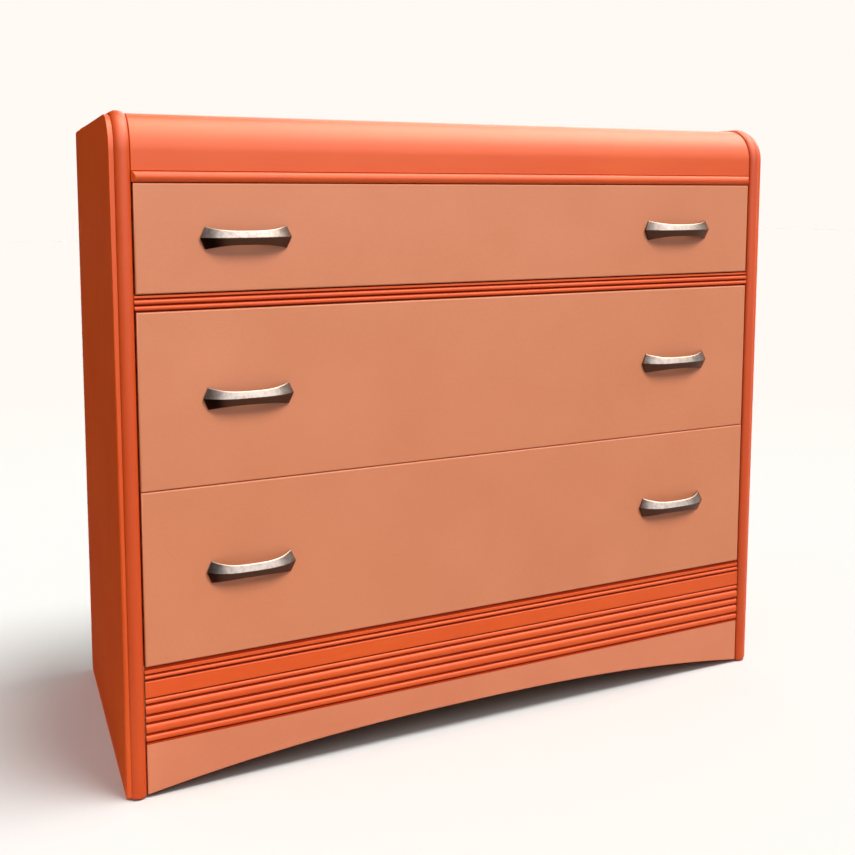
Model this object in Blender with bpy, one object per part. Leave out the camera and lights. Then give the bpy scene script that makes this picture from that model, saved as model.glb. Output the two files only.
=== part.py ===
"""Waterfall chest of drawers: a painted case with a rolled top, three drawers and bowed metal pulls.

Units are metres, +Z is up, the drawers open towards -Y, and the origin is on the floor under the
middle of the overall box. Every piece of the chest is an object of its own.
"""

import math

import bmesh
import bpy
from mathutils import Vector

# Overall sizes of the case
CASE_WIDTH = 0.915
CASE_DEPTH = 0.370  # drawer faces to rear edge
CASE_HEIGHT = 0.800  # floor to the crest of the edge mouldings
PANEL_THICKNESS = 0.0225

# Heights of the front's bands, from the floor up; the two deep drawers share what the others leave
APRON_TOP = 0.0665
REED_BOTTOM = 0.0099
REED_WIDE_LOW = 0.0132
REED_NARROW = 0.0098
REED_WIDE_HIGH = 0.0129
REED_TOP = 0.0080
PLINTH_BAND = 0.0214
PLINTH_BEAD = 0.0068
PLINTH_STRIP = 0.0095
DIVIDER_REED = 0.00745
DIVIDER_STRIP = 0.0040
UPPER_BAY = 0.1264
TOP_BEAD = 0.0124
TOP_DROP = 0.0660  # height of the rolled front below the top surface
EDGE_STEP = 0.0030  # edge mouldings stand this far above the top

# The rolled top and its edge mouldings
TOP_THICKNESS = 0.019
WATERFALL_RADIUS = 0.044
WATERFALL_SET_BACK = 0.0012  # rolled front behind the drawer faces
EDGE_WIDTH = 0.017
EDGE_BULGE = 0.0050
EDGE_FULLNESS = 2.0  # 2 is an ellipse, more is squarer
FOOT_ROUND = 0.0030  # at the lower ends of the edge mouldings
CORNER_STEPS = 14
EDGE_STEPS = 12
EASE_STEPS = 3
ROUND_PROFILE = 0.5  # a bevel profile that is part of a circle

# The front's mouldings, most of them a little behind the drawer faces
BEAD_PROUD = 0.0030
STRIP_SET_BACK = 0.0018
REED_SET_BACK = 0.0006
WIDE_REED_SET_BACK = 0.0002
DIVIDER_SET_BACK = 0.0004
BAND_SET_BACK = 0.0008
MOULDING_ROOT = 0.0034  # bottom of the grooves
MOULDING_BACK = 0.0055
QUIRK = 0.0016  # width of the flat groove between two reeds
REED_FULLNESS = 0.6
REED_STEPS = 8
ARRIS = 0.0006  # eased corners of the flat bands

# Boards behind the front
RAIL_DEPTH = 0.060
HIDDEN_RAIL = 0.019
BOTTOM_RAIL = 0.019
PLINTH_BOARD = 0.018
APRON_THICKNESS = 0.018
APRON_SET_BACK = 0.0005
ARCH_FOOT = 0.0035
ARCH_RISE = 0.0275
ARCH_POWER = 2.4
ARCH_STEPS = 40
RUNNER_WIDTH = 0.026
RUNNER_HEIGHT = 0.018
BACK_THICKNESS = 0.006
BACK_LIP = 0.009  # how far the back reaches into each side
BACK_BOTTOM = 0.065
BACK_RAIL_HEIGHT = 0.045
BACK_RAIL_THICKNESS = 0.018
STOP_WIDTH = 0.032
STOP_DEPTH = 0.022
STOP_HEIGHT = 0.006
STOP_SPACING = 0.560
BLOCK_SIZE = 0.018
BLOCK_LENGTH = 0.060
BLOCK_SPACING = 0.420
APRON_BLOCK_HEIGHT = 0.048

# Drawers
FRONT_THICKNESS = 0.019
FRONT_ROUND = 0.0018
FRONT_ROUND_STEPS = 3
SIDE_GAP = 0.0020
FRONT_GAP = 0.0009  # to the mouldings above and below
MEETING_GAP = 0.0004  # each deep drawer's share of the line between them
DRAWER_BACK_SPACE = 0.029  # air between drawer and back panel
DRAWER_WALL = 0.012
DRAWER_HEADROOM = 0.006
BOTTOM_THICKNESS = 0.005
BOTTOM_RISE = 0.011
GROOVE_DEPTH = 0.006
DOVETAIL_COVER = 0.006  # front left ahead of the tails
DOVETAIL_PITCH = 0.030
DOVETAIL_NECK = 0.013
DOVETAIL_FLARE = 0.0022

# Pulls
PULL_LENGTH = 0.108  # tip to tip along the ridge
PULL_EDGE_LENGTH = 0.096
PULL_END_HEIGHT = 0.027
PULL_WAIST_HEIGHT = 0.017
PULL_STAND = 0.020  # crest ahead of the drawer faces
PULL_RIDGE = 0.0042  # ridge above the edges
PULL_RIM = 0.0020
PULL_WALL = 0.0030
PULL_TIP = 0.0041  # ridge off the drawer face at the tips
PULL_LIP = 0.0005  # rim narrows this much towards the back
PULL_BOW_POWER = 3.4
PULL_FLARE_POWER = 2.8
PULL_INSET = 0.1265  # end of the drawer front to the middle of the pull
PULL_STEPS = 24
BOSS_RADIUS = 0.0040
SCREW_SPACING = 0.076
SCREW_RADIUS = 0.0020
SCREW_BITE = 0.0060
ROUND_SIDES = 12
SHARP_ANGLE = 25  # degrees between faces past which an edge shows

# Clearances
SEAT = 0.0003  # between pieces that bear on each other
FIT = 0.0006  # at the ends of the bead and the divider
PLINTH_FIT = 0.0012  # at the ends of the plinth and the apron

# Levels and planes that follow from the sizes above
OPENING = CASE_WIDTH - 2 * PANEL_THICKNESS
FACE_Y = (PULL_STAND - CASE_DEPTH) / 2
REAR_Y = FACE_Y + CASE_DEPTH
REEDS_TOP = APRON_TOP + REED_BOTTOM + REED_WIDE_LOW + REED_NARROW + REED_WIDE_HIGH + REED_TOP
BAND_TOP = REEDS_TOP + PLINTH_BAND
PLINTH_TOP = BAND_TOP + PLINTH_BEAD + PLINTH_STRIP
TOP_Z = CASE_HEIGHT - EDGE_STEP
BEAD_TOP = TOP_Z - TOP_DROP
BEAD_BOTTOM = BEAD_TOP - TOP_BEAD
DIVIDER_TOP = BEAD_BOTTOM - UPPER_BAY
DIVIDER_BOTTOM = DIVIDER_TOP - 2 * DIVIDER_REED - DIVIDER_STRIP
MEETING_LINE = (PLINTH_TOP + DIVIDER_BOTTOM) / 2
WATERFALL_Y = FACE_Y + WATERFALL_SET_BACK
CORNER_Y = WATERFALL_Y + WATERFALL_RADIUS
CORNER_Z = TOP_Z - WATERFALL_RADIUS
PANEL_RADIUS = WATERFALL_RADIUS + EDGE_STEP - EDGE_BULGE
BACK_FRONT_Y = REAR_Y - BACK_THICKNESS
FRONT_BACK_Y = FACE_Y + FRONT_THICKNESS
RAIL_FRONT_Y = FACE_Y + MOULDING_BACK + SEAT
BACK_RAIL_Y = BACK_FRONT_Y - SEAT - BACK_RAIL_THICKNESS
DRAWER_DEPTH = CASE_DEPTH - BACK_THICKNESS - DRAWER_BACK_SPACE
DOVETAIL_LAP = FRONT_THICKNESS - DOVETAIL_COVER
DRAWER_WIDTH = OPENING - 2 * SIDE_GAP
PULL_X = DRAWER_WIDTH / 2 - PULL_INSET


def make_material(name, colour, roughness, metallic=0.0):
    """A plain Principled surface."""
    material = bpy.data.materials.new(name)
    material.use_nodes = True
    shader = material.node_tree.nodes["Principled BSDF"]
    shader.inputs["Base Color"].default_value = (*colour, 1.0)
    shader.inputs["Roughness"].default_value = roughness
    shader.inputs["Metallic"].default_value = metallic
    return material


def add_object(name, shape, material, location=(0, 0, 0), parent=None, smooth=False):
    """Turns a bmesh into a named object."""
    bmesh.ops.recalc_face_normals(shape, faces=shape.faces)
    mesh = bpy.data.meshes.new(name)
    shape.to_mesh(mesh)
    shape.free()
    if smooth:
        mesh.shade_smooth()
        mesh.set_sharp_from_angle(angle=math.radians(SHARP_ANGLE))
    piece = bpy.data.objects.new(name, mesh)
    piece.data.materials.append(material)
    piece.location = location
    piece.parent = parent
    bpy.context.scene.collection.objects.link(piece)
    return piece


def add_empty(name, location):
    """A parent for the pieces that slide together."""
    empty = bpy.data.objects.new(name, None)
    empty.location = location
    bpy.context.scene.collection.objects.link(empty)
    return empty


def extruded(outline, axis, start, end):
    """A closed outline drawn out along X, as (y, z) points, along Y, as (x, z), or along Z, as (x, y)."""
    shape = bmesh.new()
    order = {"X": (2, 0, 1), "Y": (0, 2, 1), "Z": (0, 1, 2)}[axis]
    corners = []
    for across, up in outline:
        place = (across, up, start)
        corners.append(shape.verts.new([place[index] for index in order]))
    cap = shape.faces.new(corners)
    grown = bmesh.ops.extrude_face_region(shape, geom=[cap])
    far = (0, 0, end - start)
    offset = Vector([far[index] for index in order])
    moved = [item for item in grown["geom"] if isinstance(item, bmesh.types.BMVert)]
    bmesh.ops.translate(shape, verts=moved, vec=offset)
    return shape


def rectangle(low, high):
    """Corner points of a rectangle from its lowest and highest corners."""
    return [low, (high[0], low[1]), high, (low[0], high[1])]


def arc(centre, radius, start, end, steps):
    """Points on an arc, angles in degrees."""
    points = []
    for step in range(steps + 1):
        angle = math.radians(start + (end - start) * step / steps)
        points.append((centre[0] + radius * math.cos(angle), centre[1] + radius * math.sin(angle)))
    return points


def add_board(name, material, low, high, parent=None):
    """A plain rectangular board between two corners, with its origin at its middle."""
    low = Vector(low)
    high = Vector(high)
    middle = (low + high) / 2
    half = (high - low) / 2
    shape = extruded(rectangle((-half.x, -half.y), (half.x, half.y)), "Z", -half.z, half.z)
    return add_object(name, shape, material, middle, parent)


def add_moulding(name, material, outline, bottom, gap):
    """A moulding across the opening, from an outline in (y, z) measured from the drawer faces."""
    half = OPENING / 2 - gap
    shape = extruded(outline, "X", -half, half)
    return add_object(name, shape, material, (0, FACE_Y, bottom), smooth=True)


def skin(shape, rings):
    """Walls through rings of as many points each; gives back the rings' corners."""
    corners = [[shape.verts.new(point) for point in ring] for ring in rings]
    for before, after in zip(corners, corners[1:]):
        for index in range(len(before)):
            following = (index + 1) % len(before)
            shape.faces.new((before[index], before[following], after[following], after[index]))
    return corners


def carve(piece, cutter):
    """Cuts one solid out of a piece and removes the cutter."""
    cut = piece.modifiers.new("cut", "BOOLEAN")
    cut.object = cutter
    cut.operation = "DIFFERENCE"
    cut.solver = "EXACT"
    settle(piece, cutter)


def weld(piece, addition):
    """Joins a second solid to a piece and removes it."""
    join = piece.modifiers.new("join", "BOOLEAN")
    join.object = addition
    join.operation = "UNION"
    join.solver = "EXACT"
    settle(piece, addition)


def settle(piece, tool):
    """Keeps the result of a piece's modifiers as its mesh."""
    bpy.context.view_layer.update()
    graph = bpy.context.evaluated_depsgraph_get()
    mesh = bpy.data.meshes.new_from_object(piece.evaluated_get(graph))
    piece.modifiers.clear()
    old = piece.data
    piece.data = mesh
    mesh.name = piece.name
    bpy.data.meshes.remove(old)
    spent = tool.data
    bpy.data.objects.remove(tool)
    bpy.data.meshes.remove(spent)


def half_round(root, crest, low, high):
    """Points over one reed, from its lower edge to its upper, with its crest off the root."""
    points = []
    for step in range(REED_STEPS + 1):
        angle = math.pi * step / REED_STEPS
        swell = max(math.sin(angle), 0.0) ** REED_FULLNESS
        points.append((root + (crest - root) * swell, low + (high - low) * (1 - math.cos(angle)) / 2))
    return points


def reeds(bands):
    """Outline of stacked reeds from (height, set back) pairs, bottom first, with a flat back."""
    points = [(MOULDING_BACK, 0.0), (MOULDING_ROOT, 0.0)]
    bottom = 0.0
    for height, set_back in bands:
        top = bottom + height
        points += half_round(MOULDING_ROOT, set_back, bottom + QUIRK / 2, top - QUIRK / 2)
        bottom = top
    points += [(MOULDING_ROOT, bottom), (MOULDING_BACK, bottom)]
    return points


def topped(outline, low, high):
    """Reeds with a flat strip above them that the drawer over it shades."""
    strip = eased((STRIP_SET_BACK, low + QUIRK / 2), (MOULDING_ROOT, high), ARRIS)
    return outline[:-2] + strip + [(MOULDING_BACK, high)]


def eased(outline_low, outline_high, ease):
    """A rectangle whose two front corners are eased."""
    (front, low) = outline_low
    (back, high) = outline_high
    return [
        (back, low),
        (front + ease, low),
        (front, low + ease),
        (front, high - ease),
        (front + ease, high),
        (back, high),
    ]


def add_side_panel(name, material, hand):
    """A side of the case, with a rolled top front corner, an eased outer edge and a rebate for the back."""
    front = CORNER_Y - PANEL_RADIUS
    top = CORNER_Z + PANEL_RADIUS
    outline = [(front, 0.0)]
    outline += arc((CORNER_Y, CORNER_Z), PANEL_RADIUS, 180, 90, CORNER_STEPS)
    outline += [(REAR_Y, top), (REAR_Y, 0.0)]
    outer = hand * CASE_WIDTH / 2
    inner = hand * OPENING / 2
    shape = extruded(outline, "X", inner, outer)
    eased_edges = []
    for edge in shape.edges:
        ends = [corner.co for corner in edge.verts]
        on_outer = all(abs(end.x - outer) < SEAT for end in ends)
        on_floor = all(end.z < SEAT for end in ends)
        on_rear = all(end.y > REAR_Y - SEAT for end in ends)
        if on_outer and not on_floor and not on_rear:
            eased_edges.append(edge)
    bmesh.ops.bevel(
        shape,
        geom=eased_edges,
        offset=PANEL_THICKNESS - EDGE_WIDTH,
        segments=EASE_STEPS,
        profile=ROUND_PROFILE,
        affect="EDGES",
    )
    panel = add_object(name, shape, material, smooth=True)
    rebate_x = sorted((inner - hand * PANEL_THICKNESS, inner + hand * BACK_LIP))
    rebate = add_board(
        "rebate",
        material,
        (rebate_x[0], BACK_FRONT_Y - SEAT, BACK_BOTTOM - SEAT),
        (rebate_x[1], REAR_Y + BACK_THICKNESS, top + PANEL_THICKNESS),
    )
    carve(panel, rebate)
    return panel


def add_edge_moulding(name, material, hand):
    """The half-round up a side's front edge from a rounded foot, over the roll and back along the top."""
    inner = hand * OPENING / 2
    root = CORNER_Y - PANEL_RADIUS - SEAT
    crest = EDGE_BULGE - SEAT
    middle = inner + hand * EDGE_WIDTH / 2
    levels = arc((0.0, FOOT_ROUND), FOOT_ROUND, -90, 0, EASE_STEPS)
    rings = []
    for reach, level in levels + [(FOOT_ROUND, CORNER_Z)]:
        inset = FOOT_ROUND - reach
        ring = []
        for step in range(EDGE_STEPS + 1):
            angle = math.pi * step / EDGE_STEPS
            across = (EDGE_WIDTH / 2 - inset) * math.cos(angle)
            swell = max(0.0, 1 - abs(math.cos(angle)) ** EDGE_FULLNESS) ** (1 / EDGE_FULLNESS)
            ring.append((middle - hand * across, root - (crest - inset) * swell, level))
        rings.append(ring)
    shape = bmesh.new()
    corners = skin(shape, rings)
    shape.faces.new(corners[0])
    rise = shape.faces.new(corners[-1])
    bend = bmesh.ops.spin(
        shape,
        geom=[rise, *rise.edges, *rise.verts],
        cent=(0, CORNER_Y, CORNER_Z),
        axis=(1, 0, 0),
        angle=-math.pi / 2,
        steps=CORNER_STEPS,
    )
    crown = [item for item in bend["geom_last"] if isinstance(item, bmesh.types.BMFace)][0]
    draw_out(shape, crown, (0, REAR_Y - CORNER_Y, 0))
    return add_object(name, shape, material, smooth=True)


def draw_out(shape, face, offset):
    """Extrudes one face and returns the new end face."""
    grown = bmesh.ops.extrude_face_region(shape, geom=[face, *face.edges, *face.verts])
    moved = [item for item in grown["geom"] if isinstance(item, bmesh.types.BMVert)]
    bmesh.ops.translate(shape, verts=moved, vec=offset)
    return [item for item in grown["geom"] if isinstance(item, bmesh.types.BMFace)][0]


def add_waterfall_top(material):
    """The top board, which rolls over and drops to the bead in one bent sheet."""
    inner_radius = WATERFALL_RADIUS - TOP_THICKNESS
    outline = [(REAR_Y, TOP_Z)]
    outline += arc((CORNER_Y, CORNER_Z), WATERFALL_RADIUS, 90, 180, CORNER_STEPS)
    outline += [(WATERFALL_Y, BEAD_TOP), (WATERFALL_Y + TOP_THICKNESS, BEAD_TOP)]
    outline += arc((CORNER_Y, CORNER_Z), inner_radius, 180, 90, CORNER_STEPS)
    outline += [(REAR_Y, TOP_Z - TOP_THICKNESS)]
    half = OPENING / 2 - SEAT
    shape = extruded(outline, "X", -half, half)
    return add_object("waterfall_top", shape, material, smooth=True)


def add_apron(material):
    """The board under the plinth, with its lower edge sawn to a flat arch."""
    half = OPENING / 2 - PLINTH_FIT
    outline = [(-half, APRON_TOP - SEAT), (half, APRON_TOP - SEAT)]
    for step in range(ARCH_STEPS + 1):
        across = half * (1 - 2 * step / ARCH_STEPS)
        lift = ARCH_RISE * (1 - abs(across / half) ** ARCH_POWER)
        outline.append((across, ARCH_FOOT + lift))
    front = FACE_Y + APRON_SET_BACK
    shape = extruded(outline, "Y", front, front + APRON_THICKNESS)
    return add_object("arched_apron", shape, material)


def add_front_mouldings(material):
    """Bead with mitred ends, divider reeding and plinth mouldings, each on the board behind it."""
    bead_height = TOP_BEAD - SEAT
    bead = [(MOULDING_BACK, 0.0)]
    bead += half_round(WATERFALL_SET_BACK, -BEAD_PROUD, 0.0, bead_height)
    bead += [(MOULDING_BACK, bead_height)]
    top_bead = add_moulding("top_bead", material, bead, BEAD_BOTTOM, FIT)
    for corner in top_bead.data.vertices:
        ahead = max(0.0, WATERFALL_SET_BACK - corner.co.y)
        corner.co.x -= math.copysign(ahead, corner.co.x)
    divider = reeds([(DIVIDER_REED, DIVIDER_SET_BACK), (DIVIDER_REED, DIVIDER_SET_BACK)])
    divider = topped(divider, 2 * DIVIDER_REED, DIVIDER_TOP - DIVIDER_BOTTOM)
    add_moulding("divider_reeding", material, divider, DIVIDER_BOTTOM, FIT)
    cap = topped(reeds([(PLINTH_BEAD, REED_SET_BACK)]), PLINTH_BEAD, PLINTH_BEAD + PLINTH_STRIP - SEAT)
    add_moulding("plinth_cap", material, cap, BAND_TOP, PLINTH_FIT)
    band = eased((BAND_SET_BACK, SEAT), (MOULDING_BACK, PLINTH_BAND - SEAT), ARRIS)
    add_moulding("plinth_band", material, band, REEDS_TOP, PLINTH_FIT)
    courses = [
        (REED_BOTTOM, REED_SET_BACK),
        (REED_WIDE_LOW, WIDE_REED_SET_BACK),
        (REED_NARROW, REED_SET_BACK),
        (REED_WIDE_HIGH, WIDE_REED_SET_BACK),
        (REED_TOP, REED_SET_BACK),
    ]
    add_moulding("plinth_reeding", material, reeds(courses), APRON_TOP, PLINTH_FIT)


def add_frame(wood, sheet):
    """Rails, runners, kickers, back and blocks inside the case."""
    half = OPENING / 2 - SEAT
    rail_back = RAIL_FRONT_Y + RAIL_DEPTH
    add_board("top_rail", wood, (-half, RAIL_FRONT_Y, BEAD_BOTTOM), (half, rail_back, BEAD_TOP - SEAT))
    add_board("divider_rail", wood, (-half, RAIL_FRONT_Y, DIVIDER_BOTTOM), (half, rail_back, DIVIDER_TOP))
    hidden_front = FRONT_BACK_Y + SEAT
    hidden_back = hidden_front + RAIL_DEPTH
    hidden_low = MEETING_LINE - HIDDEN_RAIL / 2
    hidden_high = MEETING_LINE + HIDDEN_RAIL / 2
    add_board("middle_rail", wood, (-half, hidden_front, hidden_low), (half, hidden_back, hidden_high))
    bottom_low = PLINTH_TOP - BOTTOM_RAIL
    add_board("bottom_rail", wood, (-half, RAIL_FRONT_Y, bottom_low), (half, rail_back, PLINTH_TOP))
    add_board(
        "plinth_board",
        wood,
        (-half, RAIL_FRONT_Y, APRON_TOP),
        (half, RAIL_FRONT_Y + PLINTH_BOARD, bottom_low - SEAT),
    )

    runner_end = BACK_RAIL_Y - SEAT
    levels = {
        "upper": (DIVIDER_TOP, rail_back + SEAT),
        "middle": (hidden_high, hidden_back + SEAT),
        "lower": (PLINTH_TOP, rail_back + SEAT),
    }
    for side, hand in (("left", -1), ("right", 1)):
        edges = sorted((hand * half, hand * (half - RUNNER_WIDTH)))
        for level, (top, front) in levels.items():
            low = (edges[0], front, top - RUNNER_HEIGHT)
            add_board(f"{level}_runner_{side}", wood, low, (edges[1], runner_end, top))
        kicker_low = (edges[0], rail_back + SEAT, BEAD_BOTTOM)
        add_board(f"kicker_{side}", wood, kicker_low, (edges[1], runner_end, BEAD_BOTTOM + RUNNER_HEIGHT))

    back_half = OPENING / 2 + BACK_LIP - SEAT
    back_top = TOP_Z - TOP_THICKNESS - SEAT
    add_board("back_panel", sheet, (-back_half, BACK_FRONT_Y, BACK_BOTTOM), (back_half, REAR_Y, back_top))
    for name, low in (("back_bottom_rail", BACK_BOTTOM), ("back_top_rail", back_top - BACK_RAIL_HEIGHT)):
        high = (half, BACK_FRONT_Y - SEAT, low + BACK_RAIL_HEIGHT)
        add_board(name, wood, (-half, BACK_RAIL_Y, low), high)


def add_stops(wood):
    """Small blocks on the rails that halt the upper and lower drawers when their faces are flush."""
    front = FRONT_BACK_Y + SEAT
    for level, rail_top in (("lower", PLINTH_TOP), ("upper", DIVIDER_TOP)):
        for side, hand in (("left", -1), ("right", 1)):
            middle = hand * STOP_SPACING / 2
            low = (middle - STOP_WIDTH / 2, front, rail_top + SEAT)
            high = (middle + STOP_WIDTH / 2, front + STOP_DEPTH, rail_top + STOP_HEIGHT)
            add_board(f"{level}_stop_{side}", wood, low, high)


def add_glue_blocks(wood):
    """Three-cornered blocks behind the rolled front and in the corners behind the apron."""
    roll_y = WATERFALL_Y + TOP_THICKNESS + SEAT
    roll_corner = [(0, 0), (BLOCK_SIZE, 0), (0, BLOCK_SIZE)]
    apron_y = FACE_Y + APRON_SET_BACK + APRON_THICKNESS + SEAT
    apron_low = APRON_TOP - SEAT - APRON_BLOCK_HEIGHT
    for side, hand in (("left", -1), ("right", 1)):
        block = extruded(roll_corner, "X", -BLOCK_LENGTH / 2, BLOCK_LENGTH / 2)
        add_object(f"roll_block_{side}", block, wood, (hand * BLOCK_SPACING / 2, roll_y, BEAD_TOP))
        apron_corner = [(0, 0), (-hand * BLOCK_SIZE, 0), (0, BLOCK_SIZE)]
        block = extruded(apron_corner, "Z", 0.0, APRON_BLOCK_HEIGHT)
        add_object(f"apron_block_{side}", block, wood, (hand * (OPENING / 2 - SEAT), apron_y, apron_low))


def join_shape(target, extra):
    """Adds one bmesh to another as a separate body."""
    bmesh.ops.recalc_face_normals(extra, faces=extra.faces)
    mesh = bpy.data.meshes.new("extra")
    extra.to_mesh(mesh)
    extra.free()
    target.from_mesh(mesh)
    bpy.data.meshes.remove(mesh)


def dovetails(low, high):
    """Heights of the tail centres, spread evenly up a drawer side."""
    count = max(2, round((high - low) / DOVETAIL_PITCH))
    pitch = (high - low) / count
    return [low + pitch * (index + 0.5) for index in range(count)]


def tail(centre, root, tip, ease):
    """Outline of one tail in (y, z), from its neck at root to its wider tip."""
    neck = DOVETAIL_NECK / 2 + ease
    wide = neck + DOVETAIL_FLARE
    return [(root, centre - neck), (tip, centre - wide), (tip, centre + wide), (root, centre + neck)]


def add_drawer_front(name, material, height, parent, walls):
    """A drawer front with softened edges, sockets for the tails, a groove and the pulls' screw holes."""
    half_width = DRAWER_WIDTH / 2
    half_height = height / 2
    outline = rectangle((-half_width, -half_height), (half_width, half_height))
    shape = extruded(outline, "Y", 0.0, FRONT_THICKNESS)
    face_edges = [edge for edge in shape.edges if all(abs(end.co.y) < SEAT for end in edge.verts)]
    bmesh.ops.bevel(
        shape,
        geom=face_edges,
        offset=FRONT_ROUND,
        segments=FRONT_ROUND_STEPS,
        profile=ROUND_PROFILE,
        affect="EDGES",
    )
    front = add_object(name, shape, material, parent=parent, smooth=True)
    low, high = walls
    sockets = bmesh.new()
    for hand in (-1, 1):
        inner = hand * (half_width - DRAWER_WALL - SEAT)
        outer = hand * (half_width + DRAWER_WALL)
        for centre in dovetails(low, high):
            tip = FRONT_THICKNESS - DOVETAIL_LAP - SEAT
            socket = tail(centre, FRONT_THICKNESS, tip, SEAT)
            back = FRONT_THICKNESS + DOVETAIL_LAP
            socket += [(back, socket[3][1]), (back, socket[0][1])]
            join_shape(sockets, extruded(socket, "X", inner, outer))
    carve(front, add_object("sockets", sockets, material, parent=parent))
    reach = half_width - DRAWER_WALL + GROOVE_DEPTH
    groove_low = low + BOTTOM_RISE - SEAT
    groove = add_board(
        "groove",
        material,
        (-reach, FRONT_THICKNESS - GROOVE_DEPTH, groove_low),
        (reach, FRONT_THICKNESS + GROOVE_DEPTH, groove_low + BOTTOM_THICKNESS + 2 * SEAT),
        parent,
    )
    carve(front, groove)
    holes = bmesh.new()
    for x in screw_places():
        centre = (x, 0.0)
        join_shape(holes, rod(centre, SCREW_RADIUS + SEAT, -FRONT_THICKNESS, 2 * FRONT_THICKNESS))
    carve(front, add_object("holes", holes, material, parent=parent))
    return front


def screw_places():
    """Distances of the pulls' screws from the middle of a drawer."""
    places = []
    for hand in (-1, 1):
        for end in (-1, 1):
            places.append(hand * PULL_X + end * SCREW_SPACING / 2)
    return places


def rod(centre, radius, start, end):
    """A round bar along Y, with a flat-sided circle."""
    outline = arc(centre, radius, 0, 360, ROUND_SIDES)[:-1]
    return extruded(outline, "Y", start, end)


def add_drawer_side(name, material, hand, parent, walls):
    """A drawer side with tails at its front end and a groove for the bottom."""
    low, high = walls
    outline = [(DRAWER_DEPTH, low), (FRONT_THICKNESS + SEAT, low)]
    for centre in dovetails(low, high):
        outline += tail(centre, FRONT_THICKNESS + SEAT, FRONT_THICKNESS - DOVETAIL_LAP, 0.0)
    outline += [(FRONT_THICKNESS + SEAT, high), (DRAWER_DEPTH, high)]
    outer = hand * DRAWER_WIDTH / 2
    inner = hand * (DRAWER_WIDTH / 2 - DRAWER_WALL)
    side = add_object(name, extruded(outline, "X", inner, outer), material, parent=parent)
    span = sorted((inner + hand * GROOVE_DEPTH, inner - hand * DRAWER_WALL))
    groove_low = low + BOTTOM_RISE - SEAT
    groove = add_board(
        "groove",
        material,
        (span[0], -FRONT_THICKNESS, groove_low),
        (span[1], DRAWER_DEPTH + FRONT_THICKNESS, groove_low + BOTTOM_THICKNESS + 2 * SEAT),
        parent,
    )
    carve(side, groove)
    return side


def pull_ridge(along):
    """Height of the ridge off the drawer face, from -1 at one tip through 0 to 1 at the other."""
    return PULL_TIP + (PULL_STAND - PULL_TIP) * (1 - abs(along) ** PULL_BOW_POWER)


def pull_edge(along):
    """Height of the pull's two edges off the drawer face."""
    foot = PULL_RIM + SEAT
    return foot + (PULL_STAND - PULL_RIDGE - foot) * (1 - abs(along) ** PULL_BOW_POWER)


def pull_half_height(along):
    """Half the pull's height, least at its waist."""
    flare = (PULL_END_HEIGHT - PULL_WAIST_HEIGHT) * abs(along) ** PULL_FLARE_POWER
    return (PULL_WAIST_HEIGHT + flare) / 2


def inside_wall(x, up):
    """The middle of the pull's wall, off the drawer face."""
    share = abs(up) / pull_half_height(2 * x / PULL_LENGTH)
    along = 2 * x / (PULL_LENGTH + (PULL_EDGE_LENGTH - PULL_LENGTH) * share)
    outside = pull_ridge(along) + (pull_edge(along) - pull_ridge(along)) * share
    return outside - PULL_WALL / 2


def pull_section(along):
    """Corners of the pull's hollow section as (along, off the face, up)."""
    ridge = pull_ridge(along)
    edge = pull_edge(along)
    hollow = max(SEAT, ridge - PULL_WALL)
    half = pull_half_height(along)
    lip = half - PULL_LIP
    long = along * PULL_LENGTH / 2
    short = along * PULL_EDGE_LENGTH / 2
    return [
        (short, edge, half),
        (long, ridge, 0.0),
        (short, edge, -half),
        (short, edge - PULL_RIM, -lip),
        (long, hollow, 0.0),
        (short, edge - PULL_RIM, lip),
    ]


def boss(centre):
    """A round boss behind the pull that ends inside its wall all the way round."""
    shape = bmesh.new()
    circle = arc(centre, BOSS_RADIUS, 0, 360, ROUND_SIDES)[:-1]
    low = [(x, -SEAT, up) for x, up in circle]
    high = [(x, -inside_wall(x, up), up) for x, up in circle]
    corners = skin(shape, [low, high])
    shape.faces.new(corners[0])
    crown = shape.verts.new((centre[0], -inside_wall(*centre), centre[1]))
    for before, after in zip(corners[1], corners[1][1:] + corners[1][:1]):
        shape.faces.new((before, after, crown))
    return shape


def add_pull(name, material, x, parent):
    """A bowed pull: a ridged band, narrow at its waist, hollow behind, with a boss for each screw."""
    shape = bmesh.new()
    rings = []
    for step in range(PULL_STEPS + 1):
        section = pull_section(2 * step / PULL_STEPS - 1)
        rings.append([(across, -off, up) for across, off, up in section])
    corners = skin(shape, rings)
    for ring in (corners[0], corners[-1]):
        shape.faces.new((ring[0], ring[1], ring[4], ring[5]))
        shape.faces.new((ring[1], ring[2], ring[3], ring[4]))
    pull = add_object(name, shape, material, (x, 0, 0), parent)
    centres = [(end * SCREW_SPACING / 2, 0.0) for end in (-1, 1)]
    for centre in centres:
        weld(pull, add_object("boss", boss(centre), material, (x, 0, 0), parent))
    for centre in centres:
        hole = rod(centre, SCREW_RADIUS + SEAT, -SCREW_BITE - SEAT, SEAT)
        carve(pull, add_object("hole", hole, material, (x, 0, 0), parent))
    pull.data.shade_smooth()
    pull.data.set_sharp_from_angle(angle=math.radians(SHARP_ANGLE))
    return pull


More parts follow.
